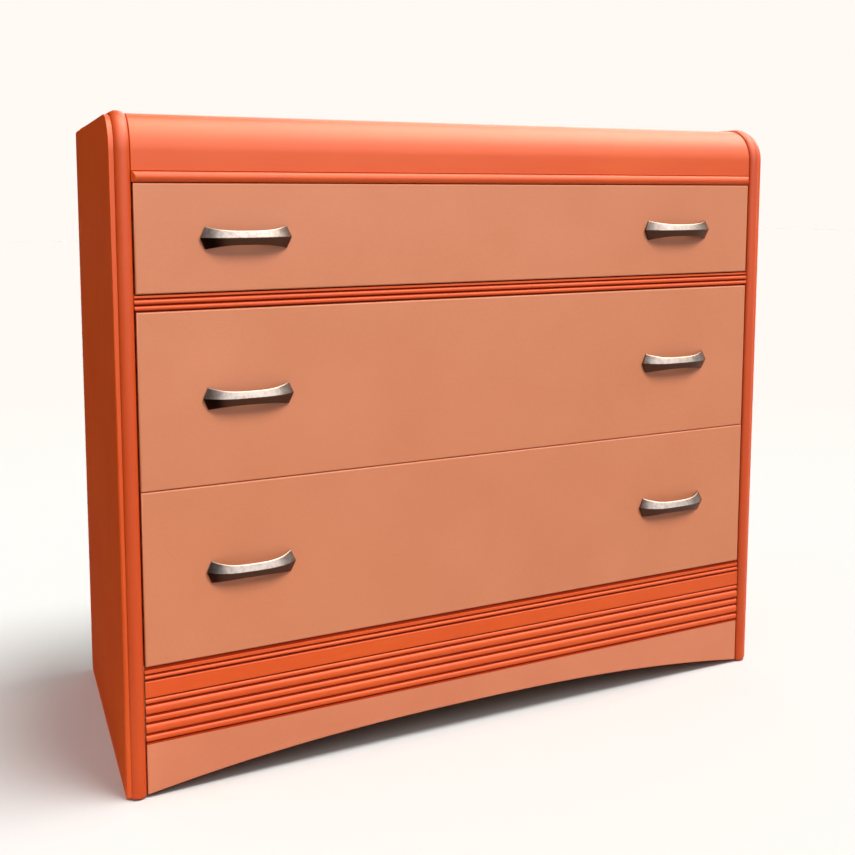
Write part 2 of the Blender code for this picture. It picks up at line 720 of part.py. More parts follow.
def add_drawer(level, finishes, span, support, ceiling):
    """One drawer: a front between two levels, two sides, back, bottom and two pulls."""
    paint, wood, sheet, bronze = finishes
    low, high = span
    middle = (low + high) / 2
    parent = add_empty(f"{level}_drawer", (0, FACE_Y, middle))
    walls = (support + SEAT - middle, ceiling - DRAWER_HEADROOM - middle)
    add_drawer_front(f"{level}_drawer_front", paint, high - low, parent, walls)
    for side, hand in (("left", -1), ("right", 1)):
        add_drawer_side(f"{level}_drawer_side_{side}", wood, hand, parent, walls)
        add_pull(f"{level}_pull_{side}", bronze, hand * PULL_X, parent)
    inside = DRAWER_WIDTH / 2 - DRAWER_WALL - SEAT
    bottom_low = walls[0] + BOTTOM_RISE
    bottom_high = bottom_low + BOTTOM_THICKNESS
    add_board(
        f"{level}_drawer_back",
        wood,
        (-inside, DRAWER_DEPTH - DRAWER_WALL, bottom_high + SEAT),
        (inside, DRAWER_DEPTH, walls[1]),
        parent,
    )
    reach = DRAWER_WIDTH / 2 - DRAWER_WALL + GROOVE_DEPTH - SEAT
    add_board(
        f"{level}_drawer_bottom",
        sheet,
        (-reach, FRONT_THICKNESS - GROOVE_DEPTH + SEAT, bottom_low),
        (reach, DRAWER_DEPTH, bottom_high),
        parent,
    )


def build():
    """Clears the scene and models the whole chest."""
    for old in list(bpy.data.objects):
        bpy.data.objects.remove(old, do_unlink=True)
    orange = make_material("orange_paint", (0.75, 0.13, 0.03), 0.45)
    salmon = make_material("salmon_paint", (0.62, 0.22, 0.11), 0.5)
    wood = make_material("drawer_wood", (0.52, 0.36, 0.20), 0.6)
    sheet = make_material("plywood", (0.47, 0.33, 0.20), 0.65)
    bronze = make_material("aged_bronze", (0.22, 0.17, 0.14), 0.35, 1.0)
    for side, hand in (("left", -1), ("right", 1)):
        add_side_panel(f"side_panel_{side}", orange, hand)
        add_edge_moulding(f"edge_moulding_{side}", orange, hand)
    add_waterfall_top(orange)
    add_front_mouldings(orange)
    add_apron(salmon)
    add_frame(wood, sheet)
    add_stops(wood)
    add_glue_blocks(wood)
    finishes = (salmon, wood, sheet, bronze)
    hidden_low = MEETING_LINE - HIDDEN_RAIL / 2
    hidden_high = MEETING_LINE + HIDDEN_RAIL / 2
    lower = (PLINTH_TOP + FRONT_GAP, MEETING_LINE - MEETING_GAP)
    middle = (MEETING_LINE + MEETING_GAP, DIVIDER_BOTTOM - FRONT_GAP)
    upper = (DIVIDER_TOP + FRONT_GAP, BEAD_BOTTOM - FRONT_GAP)
    add_drawer("lower", finishes, lower, PLINTH_TOP, hidden_low)
    add_drawer("middle", finishes, middle, hidden_high, DIVIDER_BOTTOM)
    add_drawer("upper", finishes, upper, DIVIDER_TOP, BEAD_BOTTOM)


build()
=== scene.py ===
# %% [markdown]
# # A waterfall chest of drawers
# The chest is a painted case whose top rolls over its front edge like water over a ledge. It has three
# drawers with bowed metal pulls, a reeded plinth and an arched apron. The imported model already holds
# every board at its real place. This lesson dresses it: smooth mouldings, paint, wood and metal, and
# then a floor, light and a camera. All of it could be shaped by hand in the viewport. A script is used
# here because each size can then be read, changed and run again.

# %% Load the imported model
import math

import bmesh
import bpy
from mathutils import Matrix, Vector


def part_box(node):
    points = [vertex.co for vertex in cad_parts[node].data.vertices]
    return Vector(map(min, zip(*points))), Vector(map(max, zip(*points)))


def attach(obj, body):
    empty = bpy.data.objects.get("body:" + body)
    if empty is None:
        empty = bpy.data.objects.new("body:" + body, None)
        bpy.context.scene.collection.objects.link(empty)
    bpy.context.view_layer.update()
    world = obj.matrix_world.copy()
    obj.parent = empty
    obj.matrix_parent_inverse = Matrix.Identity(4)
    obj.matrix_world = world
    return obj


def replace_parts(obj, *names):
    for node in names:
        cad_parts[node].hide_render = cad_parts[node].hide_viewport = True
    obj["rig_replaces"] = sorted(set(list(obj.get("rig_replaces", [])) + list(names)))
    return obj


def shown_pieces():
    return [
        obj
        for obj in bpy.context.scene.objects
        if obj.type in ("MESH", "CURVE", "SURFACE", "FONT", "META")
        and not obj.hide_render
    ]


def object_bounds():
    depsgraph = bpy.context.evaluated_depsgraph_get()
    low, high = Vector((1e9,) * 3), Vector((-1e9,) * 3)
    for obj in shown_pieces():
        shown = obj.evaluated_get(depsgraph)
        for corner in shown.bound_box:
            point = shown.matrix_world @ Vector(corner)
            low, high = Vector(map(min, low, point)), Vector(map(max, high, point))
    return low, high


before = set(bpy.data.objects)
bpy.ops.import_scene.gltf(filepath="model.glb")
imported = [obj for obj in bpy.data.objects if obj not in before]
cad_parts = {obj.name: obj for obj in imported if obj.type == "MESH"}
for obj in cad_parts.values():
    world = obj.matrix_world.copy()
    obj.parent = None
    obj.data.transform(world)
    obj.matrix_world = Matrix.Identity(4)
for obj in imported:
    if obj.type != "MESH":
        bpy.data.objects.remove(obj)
cad_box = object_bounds()

# %% [markdown]
# ## Sizes
# A piece that replaces a board has to lie where the board lies. So most sizes are read from the boxes of
# the boards, in metres, and only what a box can't tell, such as the radius of the roll, is written here.

# %% Sizes read from the boards
ROLL_RADIUS = 0.044
PANEL_EASE = 0.0054
SEAT = 0.0003  # gap that touching boards keep

panel_low, panel_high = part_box("side_panel_right")
edge_low, edge_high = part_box("edge_moulding_right")
top_low, top_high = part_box("waterfall_top")
face_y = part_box("upper_drawer_front")[0].y
rear_y = panel_high.y
roll_y = top_low.y + ROLL_RADIUS
roll_z = top_high.z - ROLL_RADIUS
panel_radius = panel_high.z - roll_z
print("drawer faces at", round(face_y, 4), "roll centre at", round(roll_y, 4), round(roll_z, 4))

# %% [markdown]
# ## Helpers for node trees
# Materials and Geometry Nodes are both trees of nodes. Adding a node by hand takes four or five lines:
# make it, set its options, set its inputs, draw its links. One function does that for every kind of node,
# so that a tree below reads like a recipe. Others turn the hex code of a colour into the linear light
# values that the shader works in, turn millimetres into the scale of a pattern, and do what all finishes
# share: a material to start with, and at the end the links of colour, roughness and relief to its shader.

# %% Node and colour helpers
def add_node(tree, kind, inputs=None, **settings):
    """Adds a node, sets its options, and gives each input a value or another node's output."""
    node = tree.nodes.new(kind)
    for name, value in settings.items():
        setattr(node, name, value)
    for socket, source in (inputs or {}).items():
        if isinstance(source, bpy.types.NodeSocket):
            tree.links.new(source, node.inputs[socket])
        else:
            node.inputs[socket].default_value = source
    return node


def linear(code):
    """An sRGB hex code as linear red, green, blue and alpha."""
    shares = [int(code[start:start + 2], 16) / 255 for start in (0, 2, 4)]
    light = [share / 12.92 if share <= 0.04045 else ((share + 0.055) / 1.055) ** 2.4 for share in shares]
    return (*light, 1.0)


def per_mm(size):
    """Texture scale that makes a pattern's features this many millimetres wide."""
    return 1000.0 / size


def start_finish(name):
    """A new material for a finish, its tree, and the coordinates that its patterns lie on."""
    material = bpy.data.materials.new(name)
    material.use_nodes = True
    return material, material.node_tree, add_node(material.node_tree, "ShaderNodeTexCoord").outputs


def end_finish(tree, colour, roughness, height, depth):
    """Links a finish's colour, roughness and fine relief to its shader. Returns the shader's inputs."""
    relief = add_node(tree, "ShaderNodeBump", {"Height": height, "Distance": depth, "Strength": 1.0})
    inputs = tree.nodes["Principled BSDF"].inputs
    tree.links.new(colour, inputs["Base Color"])
    tree.links.new(roughness, inputs["Roughness"])
    tree.links.new(relief.outputs[0], inputs["Normal"])
    return inputs


# %% [markdown]
# ## Satin furniture paint
# The case is orange and the drawers are salmon, both in a satin furniture paint over old veneer. Up close
# such paint isn't one flat colour: its tone drifts a little, a brush leaves fine marks along the stroke
# and a roller a soft stipple, and a few nibs of dust dry into it. An image could show that, but it would
# repeat and stretch. Noise on Object coordinates has real sizes, and the same marks run on from board to
# board as they would under one brush.

# %% Paint
DRIFT_MM = 120
NIB_CELL_MM = 85
NIB_MM = 0.9
NIB_SHOWS = 0.5
MARK_SHARE = 0.35  # how much of the change in tone is brush marks
MARK_DEPTH = 0.00003
SHEEN_SWING = 0.05
PAINT_IOR = 1.5
PAINT_SPECULAR = 0.4
NOISE_SPAN = {"From Min": 0.3, "From Max": 0.7}  # nearly all of a noise lies between these


def satin_paint(name, pale, deep, nib, stroke, mark_mm, gloss, specular=PAINT_SPECULAR):
    """Furniture paint: stroke shrinks the pattern along the brush, mark_mm is the width of a mark."""
    material, tree, coordinates = start_finish(name)
    place = coordinates["Object"]
    drift = add_node(tree, "ShaderNodeTexNoise", {"Vector": place, "Scale": per_mm(DRIFT_MM), "Detail": 3.0})
    brush = add_node(tree, "ShaderNodeMapping", {"Vector": place, "Scale": stroke})
    marks = add_node(
        tree,
        "ShaderNodeTexNoise",
        {"Vector": brush.outputs[0], "Scale": per_mm(mark_mm), "Detail": 4.0, "Roughness": 0.6},
    )
    tone = add_node(
        tree,
        "ShaderNodeMix",
        {0: MARK_SHARE, 2: drift.outputs["Fac"], 3: marks.outputs["Fac"]},
        data_type="FLOAT",
    )
    shade = add_node(tree, "ShaderNodeMapRange", {"Value": tone.outputs[0], **NOISE_SPAN})
    colour = add_node(
        tree,
        "ShaderNodeMix",
        {0: shade.outputs[0], 6: linear(deep), 7: linear(pale)},
        data_type="RGBA",
    )
    cells = add_node(tree, "ShaderNodeTexVoronoi", {"Vector": place, "Scale": per_mm(NIB_CELL_MM)})
    dot = add_node(
        tree,
        "ShaderNodeMapRange",
        {
            "Value": cells.outputs["Distance"],
            "From Min": NIB_MM / NIB_CELL_MM,
            "From Max": 0.5 * NIB_MM / NIB_CELL_MM,
            "To Max": NIB_SHOWS,
        },
    )
    nibs = add_node(
        tree,
        "ShaderNodeMix",
        {0: dot.outputs[0], 6: colour.outputs[2], 7: linear(nib)},
        data_type="RGBA",
    )
    sheen = add_node(
        tree,
        "ShaderNodeMapRange",
        {
            "Value": marks.outputs["Fac"],
            **NOISE_SPAN,
            "To Min": gloss - SHEEN_SWING,
            "To Max": gloss + SHEEN_SWING,
        },
    )
    inputs = end_finish(tree, nibs.outputs[2], sheen.outputs[0], marks.outputs["Fac"], MARK_DEPTH)
    inputs["IOR"].default_value = PAINT_IOR
    inputs["Specular IOR Level"].default_value = specular
    return material


# %% Paint colours
BRUSHED_ACROSS = (0.04, 1.0, 1.0)
BRUSHED_UPRIGHT = (1.0, 1.0, 0.04)
ROLLED = (0.6, 1.0, 1.0)

# Orange satin enamel, brushed on: a warm mid orange with a low, even sheen and long fine brush marks.
# Marks run along each board, so there is one paint for upright boards and one for those that lie across.
ORANGE = {"pale": "E0570F", "deep": "D84C08", "nib": "8A3110", "mark_mm": 3.0, "gloss": 0.44}
orange_across = satin_paint("orange_satin_enamel_across", stroke=BRUSHED_ACROSS, **ORANGE)
orange_upright = satin_paint("orange_satin_enamel_upright", stroke=BRUSHED_UPRIGHT, **ORANGE)
# A darker copy of the orange for the edge mouldings: painted shade on the rounded posts.
SHADED_EDGE_PAINT = {**ORANGE, "pale": "D14D0A", "deep": "C94306"}
orange_painted_shade_edge = satin_paint("orange_satin_enamel_shaded_edge", stroke=BRUSHED_UPRIGHT, **SHADED_EDGE_PAINT)

# Salmon satin enamel, rolled on: a chalky pink orange with the soft stipple of a foam roller.
SALMON = {"pale": "D5845E", "deep": "CD7B53", "nib": "9A5436", "mark_mm": 2.6, "gloss": 0.46}
salmon = satin_paint("salmon_satin_enamel", stroke=ROLLED, **SALMON)
# The apron gets its own copy of the salmon, a touch redder.
APRON_SALMON = {**SALMON, "pale": "DB8460", "deep": "D37A55"}
salmon_apron = satin_paint("salmon_satin_enamel_apron", stroke=ROLLED, **APRON_SALMON)

# Dark red-brown paint for the faces deep in the grooves of the mouldings and in the joint above the apron:
# painted shade, with little sheen so that it stays dark.
RECESS_SHADE = {"pale": "B0340C", "deep": "9E2B08", "nib": "7A1E06", "mark_mm": 3.0, "gloss": 0.7}
painted_recess_shade = satin_paint("painted_shade_in_recesses", stroke=BRUSHED_ACROSS, specular=0.1, **RECESS_SHADE)
print("paints:", orange_across.name, orange_upright.name, orange_painted_shade_edge.name)
print("paints:", salmon.name, salmon_apron.name, painted_recess_shade.name)

# %% [markdown]
# ## Bare wood and plywood
# Inside, nothing is painted. Rails and runners are planed hardwood, drawer sides are a paler sealed
# hardwood, and the back and the drawer bottoms are plywood. Wood is a stack of growth rings cut along
# their length, so its figure is stretched along the board. Contour lines of a slow noise, drawn out along
# the grain, give that figure without any image, and a much finer noise gives the fibres.

# %% Wood
GRAIN_STRETCH = 0.07
FIBRE_STRETCH = 0.02
FIBRE_MM = 0.9  # real fibres are finer; this is as coarse as a view of the whole drawer can show
FIBRE_DEPTH = 0.00004
FIBRE_SHARE = 0.4  # how much of the change in tone is fibres
FIBRE_SWING = 0.1
AXES = {"X": 0, "Y": 1, "Z": 2}


def planed_wood(name, early, late, grain, figure_mm, rings, gloss):
    """Planed wood whose grain runs along one axis, with growth rings as contour lines of a slow noise."""
    material, tree, coordinates = start_finish(name)
    stretched = {}
    for layer, stretch in (("figure", GRAIN_STRETCH), ("fibre", FIBRE_STRETCH)):
        scale = Vector((1, 1, 1))
        scale[AXES[grain]] = stretch
        drawn = add_node(tree, "ShaderNodeMapping", {"Vector": coordinates["Object"], "Scale": scale})
        stretched[layer] = drawn.outputs[0]
    slow = add_node(
        tree,
        "ShaderNodeTexNoise",
        {"Vector": stretched["figure"], "Scale": per_mm(figure_mm), "Detail": 2.0, "Distortion": 0.2},
    )
    stack = add_node(tree, "ShaderNodeMath", {0: slow.outputs["Fac"], 1: rings}, operation="MULTIPLY")
    ring = add_node(tree, "ShaderNodeMath", {0: stack.outputs[0], 1: 1.0}, operation="PINGPONG")
    fibre = add_node(
        tree, "ShaderNodeTexNoise", {"Vector": stretched["fibre"], "Scale": per_mm(FIBRE_MM), "Detail": 3.0}
    )
    tone = add_node(
        tree,
        "ShaderNodeMix",
        {0: FIBRE_SHARE, 2: ring.outputs[0], 3: fibre.outputs["Fac"]},
        data_type="FLOAT",
    )
    colour = add_node(
        tree, "ShaderNodeMix", {0: tone.outputs[0], 6: linear(early), 7: linear(late)}, data_type="RGBA"
    )
    sheen = add_node(
        tree,
        "ShaderNodeMapRange",
        {"Value": fibre.outputs["Fac"], "To Min": gloss - FIBRE_SWING, "To Max": gloss + FIBRE_SWING},
    )
    end_finish(tree, colour.outputs[2], sheen.outputs[0], fibre.outputs["Fac"], FIBRE_DEPTH)
    return material


# %% Woods
frame_wood = {}
drawer_wood = {}
plywood = {}
for grain in AXES:
    # Planed poplar, left bare: dull tan with broad, quiet figure.
    frame_wood[grain] = planed_wood(f"planed_poplar_{grain}", "C7A273", "A67F50", grain, 34, 9, 0.62)
    # Sealed maple: pale honey with a little sheen from the sealer.
    drawer_wood[grain] = planed_wood(f"sealed_maple_{grain}", "DDBB8A", "C59A66", grain, 40, 8, 0.48)
    # Rotary-cut birch plywood: wide wandering figure, as the sheet is peeled off a turning log.
    plywood[grain] = planed_wood(f"birch_plywood_{grain}", "D3B084", "B98F5E", grain, 95, 10, 0.6)
print("woods:", len(frame_wood) + len(drawer_wood) + len(plywood))

# %% [markdown]
# ## Aged metal
# The pulls are cast metal with a dark bronze patina. The shader mixes a pale silvery metal on faces that
# look up with the dark brown on faces that look down, by the upward part of the surface's own normal, with
# noise for an uneven border. This is partly wear by hands and polish, and partly painted light on the upper
# faces and painted shade on the undersides. The fine pits of the casting are bump.

# %% Metals
PATINA_MM = 5.0
PIT_MM = 1.1
PIT_DEPTH = 0.00006
PIT_SWING = 0.08
WEAR_OR_LIGHT_SWING = 0.25
WORN_OR_LIT = {"From Min": -0.1, "From Max": 0.5}  # by how far up a face looks


def aged_metal(name, bare, patina, gloss):
    """Cast metal, pale where it faces up and dark elsewhere: partly wear, partly painted light and shade."""
    material, tree, coordinates = start_finish(name)
    place = coordinates["Object"]
    blotch = add_node(
        tree,
        "ShaderNodeTexNoise",
        {"Vector": place, "Scale": per_mm(PATINA_MM), "Detail": 5.0, "Roughness": 0.65},
    )
    pits = add_node(tree, "ShaderNodeTexNoise", {"Vector": place, "Scale": per_mm(PIT_MM), "Detail": 2.0})
    facing = add_node(tree, "ShaderNodeSeparateXYZ", {0: coordinates["Normal"]})
    uneven = add_node(
        tree,
        "ShaderNodeMapRange",
        {"Value": blotch.outputs["Fac"], **NOISE_SPAN, "To Min": -WEAR_OR_LIGHT_SWING, "To Max": WEAR_OR_LIGHT_SWING},
    )
    height = add_node(
        tree, "ShaderNodeMath", {0: facing.outputs["Z"], 1: uneven.outputs[0]}, operation="ADD"
    )
    worn_or_lit = add_node(tree, "ShaderNodeMapRange", {"Value": height.outputs[0], **WORN_OR_LIT})
    colour = add_node(
        tree, "ShaderNodeMix", {0: worn_or_lit.outputs[0], 6: linear(patina), 7: linear(bare)}, data_type="RGBA"
    )
    sheen = add_node(
        tree,
        "ShaderNodeMapRange",
        {"Value": pits.outputs["Fac"], "To Min": gloss - PIT_SWING, "To Max": gloss + PIT_SWING},
    )
    inputs = end_finish(tree, colour.outputs[2], sheen.outputs[0], pits.outputs["Fac"], PIT_DEPTH)
    inputs["Metallic"].default_value = 1.0
    return material


# %% Bronze and steel
# Cast zinc alloy with a bronze patina: silvery grey where it faces up and deep brown where it faces down,
# partly wear and partly painted light and shade.
aged_bronze = aged_metal("aged_bronze_casting", "78706C", "482F24", 0.34)
# The same casting, brighter along the upper edges of the pulls: partly wear by fingers and partly a
# painted highlight.
worn_and_highlit_bronze = aged_metal("worn_and_highlit_bronze_edge", "98857C", "7A665C", 0.36)
# Zinc-plated steel: dull blue-grey screws and pins, a little lighter facing up and darker facing down, as
# painted light and shade.
plated_steel = aged_metal("zinc_plated_steel", "A9A7A2", "8F8C86", 0.42)
print("metals:", aged_bronze.name, worn_and_highlit_bronze.name, plated_steel.name)

# %% [markdown]
# ## Turning a shape into a piece
# A shape drawn with bmesh has to become an object, get smooth shading with crisp corners, ride on the
# body that it moves with, and say which board it stands for. The weighted normals keep a flat face flat
# right up to its rounded edge; plain smooth shading would smear the edge's light across the board.

# %% Piece helper
SHARP_ANGLE = math.radians(32)
MERGE = 0.000005
BEVEL_STEPS = 3


def dress(piece, body, nodes):
    """Seats a finished object: its body and the boards that it stands for."""
    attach(piece, body)
    if nodes:
        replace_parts(piece, *nodes)
    return piece


def settle(piece):
    """Keeps what a piece's modifiers make as its plain mesh."""
    graph = bpy.context.evaluated_depsgraph_get()
    mesh = bpy.data.meshes.new_from_object(piece.evaluated_get(graph))
    piece.modifiers.clear()
    old = piece.data
    piece.data = mesh
    mesh.name = piece.name
    bpy.data.meshes.remove(old)


def link_object(name, mesh, material):
    """Puts a mesh into the scene, at the origin, with one material."""
    piece = bpy.data.objects.new(name, mesh)
    if not mesh.materials:
        mesh.materials.append(material)
    bpy.context.scene.collection.objects.link(piece)
    return piece


def plain_mesh(name, shape):
    """A bmesh as a mesh whose faces point outwards."""
    bmesh.ops.recalc_face_normals(shape, faces=shape.faces)
    mesh = bpy.data.meshes.new(name)
    shape.to_mesh(mesh)
    shape.free()
    return mesh


def make_piece(name, shape, material, bevel=0.0, cutter=None):
    """A bmesh as an object with smooth faces, crisp corners and, if asked, eased edges or a cut."""
    piece = link_object(name, plain_mesh(name, shape), material)
    if cutter:
        cut = piece.modifiers.new("cut", "BOOLEAN")
        cut.object = cutter
        settle(piece)
        spent = cutter.data
        bpy.data.objects.remove(cutter)
        bpy.data.meshes.remove(spent)
    if bevel:
        ease = piece.modifiers.new("ease", "BEVEL")
        ease.width = bevel
        ease.segments = BEVEL_STEPS
        ease.limit_method = "ANGLE"
        ease.angle_limit = SHARP_ANGLE
        settle(piece)
    piece.data.shade_smooth()
    piece.data.set_sharp_from_angle(angle=SHARP_ANGLE)
    flats = piece.modifiers.new("flats", "WEIGHTED_NORMAL")
    flats.keep_sharp = True
    settle(piece)
    return piece


def extent(piece):
    """The lowest and highest corner of a piece, in metres, for the prints."""
    places = [corner.co for corner in piece.data.vertices]
    low = [round(min(place[axis] for place in places), 4) for axis in range(3)]
    high = [round(max(place[axis] for place in places), 4) for axis in range(3)]
    return low, high


# %% Outline helpers
def drawn_out(outline, axis, start, end):
    """A closed outline drawn out along X, as (y, z) points, or along Y, as (x, z) points."""
    shape = bmesh.new()
    rings = []
    for along in (start, end):
        places = [(along, a, b) if axis == "X" else (a, along, b) for a, b in outline]
        rings.append([shape.verts.new(place) for place in places])
    for index in range(len(outline)):
        following = (index + 1) % len(outline)
        shape.faces.new((rings[0][index], rings[0][following], rings[1][following], rings[1][index]))
    for ring in rings:
        shape.faces.new(ring)
    return shape


def arc(centre, radius, start, end, steps):
    """Points on an arc, angles in degrees."""
    turns = [math.radians(start + (end - start) * step / steps) for step in range(steps + 1)]
    return [(centre[0] + radius * math.cos(turn), centre[1] + radius * math.sin(turn)) for turn in turns]


# %% [markdown]
# ## The sides
# Each side is one board that runs to the floor. Its top front corner is sawn to the curve of the roll and
# its outer edge is eased, which shows as a pale line beside the edge moulding. The outline is drawn once
# as a flat face, pulled out to the board's thickness, and only the outer front and top edges are rounded.
# This bevel is full at the floor and at the rear, and narrows to nothing at the roll, because the faces
# have no normals yet when it runs. Recalculating them first would keep it even. The toe is rounded a
# little by wear, and a rebate is cut along the back for the plywood.

# %% Side panels
ROLL_STEPS = 48
EASE_STEPS = 8
FOOT_ROUND = 0.0045
FOOT_STEPS = 6
rebate_low, rebate_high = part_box("back_panel")


def cut_rings(shape):
    """Cuts level rings just above the floor, for a rounded foot."""
    for step in range(1, FOOT_STEPS + 1):
        level = FOOT_ROUND * (1 - math.cos(math.pi / 2 * step / FOOT_STEPS))
        everything = [*shape.verts, *shape.edges, *shape.faces]
        bmesh.ops.bisect_plane(shape, geom=everything, plane_co=(0, 0, level), plane_no=(0, 0, 1))


def foot_inset(height):
    """How far a rounded foot is drawn in at a height, along a quarter circle."""
    drop = min(FOOT_ROUND, max(0.0, FOOT_ROUND - height))
    return FOOT_ROUND - math.sqrt(FOOT_ROUND**2 - drop**2)


def round_toe(shape, centre_x):
    """Rounds the lower front corner of a side, most where it faces forward."""
    cut_rings(shape)
    centre_y = panel_low.y + PANEL_EASE
    for corner in shape.verts:
        if corner.co.z < FOOT_ROUND and corner.co.y < centre_y:
            share = (centre_y - corner.co.y) / PANEL_EASE
            inset = foot_inset(corner.co.z) * share
            corner.co.y += inset
            if abs(corner.co.x) > abs(centre_x):
                corner.co.x += (centre_x - corner.co.x) * inset / PANEL_EASE


def side_panel(side, hand):
    """A side with a rolled corner, an eased outer edge and a rebate that takes the back."""
    inner = hand * panel_low.x
    outer = hand * panel_high.x
    outline = [(panel_low.y, 0.0)]
    outline += arc((roll_y, roll_z), panel_radius, 180, 90, ROLL_STEPS)
    outline += [(rear_y, panel_high.z), (rear_y, 0.0)]
    shape = drawn_out(outline, "X", inner, outer)
    rounded = []
    for edge in shape.edges:
        ends = [corner.co for corner in edge.verts]
        on_outer = all(abs(end.x - outer) < SEAT for end in ends)
        on_floor = all(end.z < SEAT for end in ends)
        at_rear = all(end.y > rear_y - SEAT for end in ends)
        if on_outer and not on_floor and not at_rear:
            rounded.append(edge)
    bmesh.ops.bevel(
        shape, geom=rounded, offset=PANEL_EASE, segments=EASE_STEPS, profile=0.5, affect="EDGES"
    )
    round_toe(shape, outer - hand * PANEL_EASE)
    reach = rebate_high.x + SEAT
    corners = [(rebate_low.y - SEAT, rebate_low.z - SEAT), (rear_y + reach, rebate_low.z - SEAT)]
    corners += [(rear_y + reach, panel_high.z + reach), (rebate_low.y - SEAT, panel_high.z + reach)]
    rebate = drawn_out(corners, "X", -reach, reach)
    cutter = link_object("rebate", plain_mesh("rebate", rebate), orange_upright)
    piece = make_piece(f"painted_side_{side}", shape, orange_upright, cutter=cutter)
    return dress(piece, "case", [f"side_panel_{side}"])


for side, hand in (("left", -1), ("right", 1)):
    piece = side_panel(side, hand)
    print(piece.name, len(piece.data.polygons), "faces")

# %% [markdown]
# ## Geometry Nodes: a half-round outline
# Two kinds of moulding on this chest are half-rounds: the edge moulding that follows the roll, and the
# reeds across the front. A geometry tree suits both, since one outline is swept along a path or repeated
# at many sizes. The nodes below take a circle, flatten its back, and fill out its front: a fullness of 2
# is an ellipse, and more is squarer.

# %% Tree helpers
def start_tree(name, **sizes):
    """A geometry tree with named inputs for its sizes and its finish. Returns it and its inputs."""
    tree = bpy.data.node_groups.new(name, "GeometryNodeTree")
    tree.interface.new_socket("Geometry", in_out="INPUT", socket_type="NodeSocketGeometry")
    for size, value in sizes.items():
        kind = "NodeSocketInt" if isinstance(value, int) else "NodeSocketFloat"
        tree.interface.new_socket(size, in_out="INPUT", socket_type=kind).default_value = value
    tree.interface.new_socket("Finish", in_out="INPUT", socket_type="NodeSocketMaterial")
    tree.interface.new_socket("Geometry", in_out="OUTPUT", socket_type="NodeSocketGeometry")
    return tree, add_node(tree, "NodeGroupInput").outputs


def end_tree(tree, geometry, finish):
    """Makes instances real, gives them their finish and sends them out."""
    real = add_node(tree, "GeometryNodeRealizeInstances", {0: geometry})
    dressed = add_node(tree, "GeometryNodeSetMaterial", {"Geometry": real.outputs[0], "Material": finish})
    add_node(tree, "NodeGroupOutput", {0: dressed.outputs[0]})


def run_tree(name, tree, base, finish, **sizes):
    """Runs a tree on a base mesh and keeps the result as a plain smooth mesh."""
    piece = bpy.data.objects.new(name, base)
    bpy.context.scene.collection.objects.link(piece)
    modifier = piece.modifiers.new("tree", "NODES")
    modifier.node_group = tree
    for item in tree.interface.items_tree:
        if item.in_out == "INPUT" and item.name in sizes:
            modifier[item.identifier] = sizes[item.name]
        elif item.name == "Finish":
            modifier[item.identifier] = finish
    settle(piece)
    shape = bmesh.new()
    shape.from_mesh(piece.data)
    bmesh.ops.remove_doubles(shape, verts=shape.verts, dist=MERGE)
    bmesh.ops.recalc_face_normals(shape, faces=shape.faces)
    for face in shape.faces:
        face.material_index = 0
    shape.to_mesh(piece.data)
    shape.free()
    piece.data.materials.clear()
    piece.data.materials.append(finish)
    piece.data.shade_smooth()
    piece.data.set_sharp_from_angle(angle=SHARP_ANGLE)
    return piece


def half_round(tree, width, bulge, fullness, steps):
    """Nodes for a closed outline in XY: flat along X, and swelling towards -Y."""
    ring = add_node(tree, "GeometryNodeCurvePrimitiveCircle", {"Resolution": steps, "Radius": 1.0})
    place = add_node(tree, "GeometryNodeInputPosition").outputs[0]
    spot = add_node(tree, "ShaderNodeSeparateXYZ", {0: place})
    side = add_node(tree, "ShaderNodeMath", {0: spot.outputs["X"]}, operation="ABSOLUTE")
    fall = add_node(tree, "ShaderNodeMath", {0: side.outputs[0], 1: fullness}, operation="POWER")
    left = add_node(
        tree, "ShaderNodeMath", {0: 1.0, 1: fall.outputs[0]}, operation="SUBTRACT", use_clamp=True
    )
    root = add_node(tree, "ShaderNodeMath", {0: 1.0, 1: fullness}, operation="DIVIDE")
    swell = add_node(tree, "ShaderNodeMath", {0: left.outputs[0], 1: root.outputs[0]}, operation="POWER")
    ahead = add_node(tree, "ShaderNodeMath", {0: spot.outputs["Y"], 1: 0.0}, operation="GREATER_THAN")
    front = add_node(
        tree, "ShaderNodeMath", {0: swell.outputs[0], 1: ahead.outputs[0]}, operation="MULTIPLY"
    )
    depth = add_node(tree, "ShaderNodeMath", {0: front.outputs[0], 1: bulge}, operation="MULTIPLY")
    out = add_node(tree, "ShaderNodeMath", {0: 0.0, 1: depth.outputs[0]}, operation="SUBTRACT")
    half = add_node(tree, "ShaderNodeMath", {0: width, 1: 0.5}, operation="MULTIPLY")
    across = add_node(
        tree, "ShaderNodeMath", {0: spot.outputs["X"], 1: half.outputs[0]}, operation="MULTIPLY"
    )
    corner = add_node(tree, "ShaderNodeCombineXYZ", {"X": across.outputs[0], "Y": out.outputs[0]})
    outline = add_node(
        tree, "GeometryNodeSetPosition", {"Geometry": ring.outputs[0], "Position": corner.outputs[0]}
    )
    return outline.outputs[0]


# %% [markdown]
# ## The edge mouldings
# A half-round runs up each front edge, over the roll, and back along the top. It is one sweep: the path is
# three points, its corner is filleted to the radius of the roll, and the half-round outline follows it.
# Extruding and spinning an outline would do as well, but here a change of radius is one number. Its foot
# is rounded by wear: rings are cut just above the floor and each is drawn in along a quarter circle.

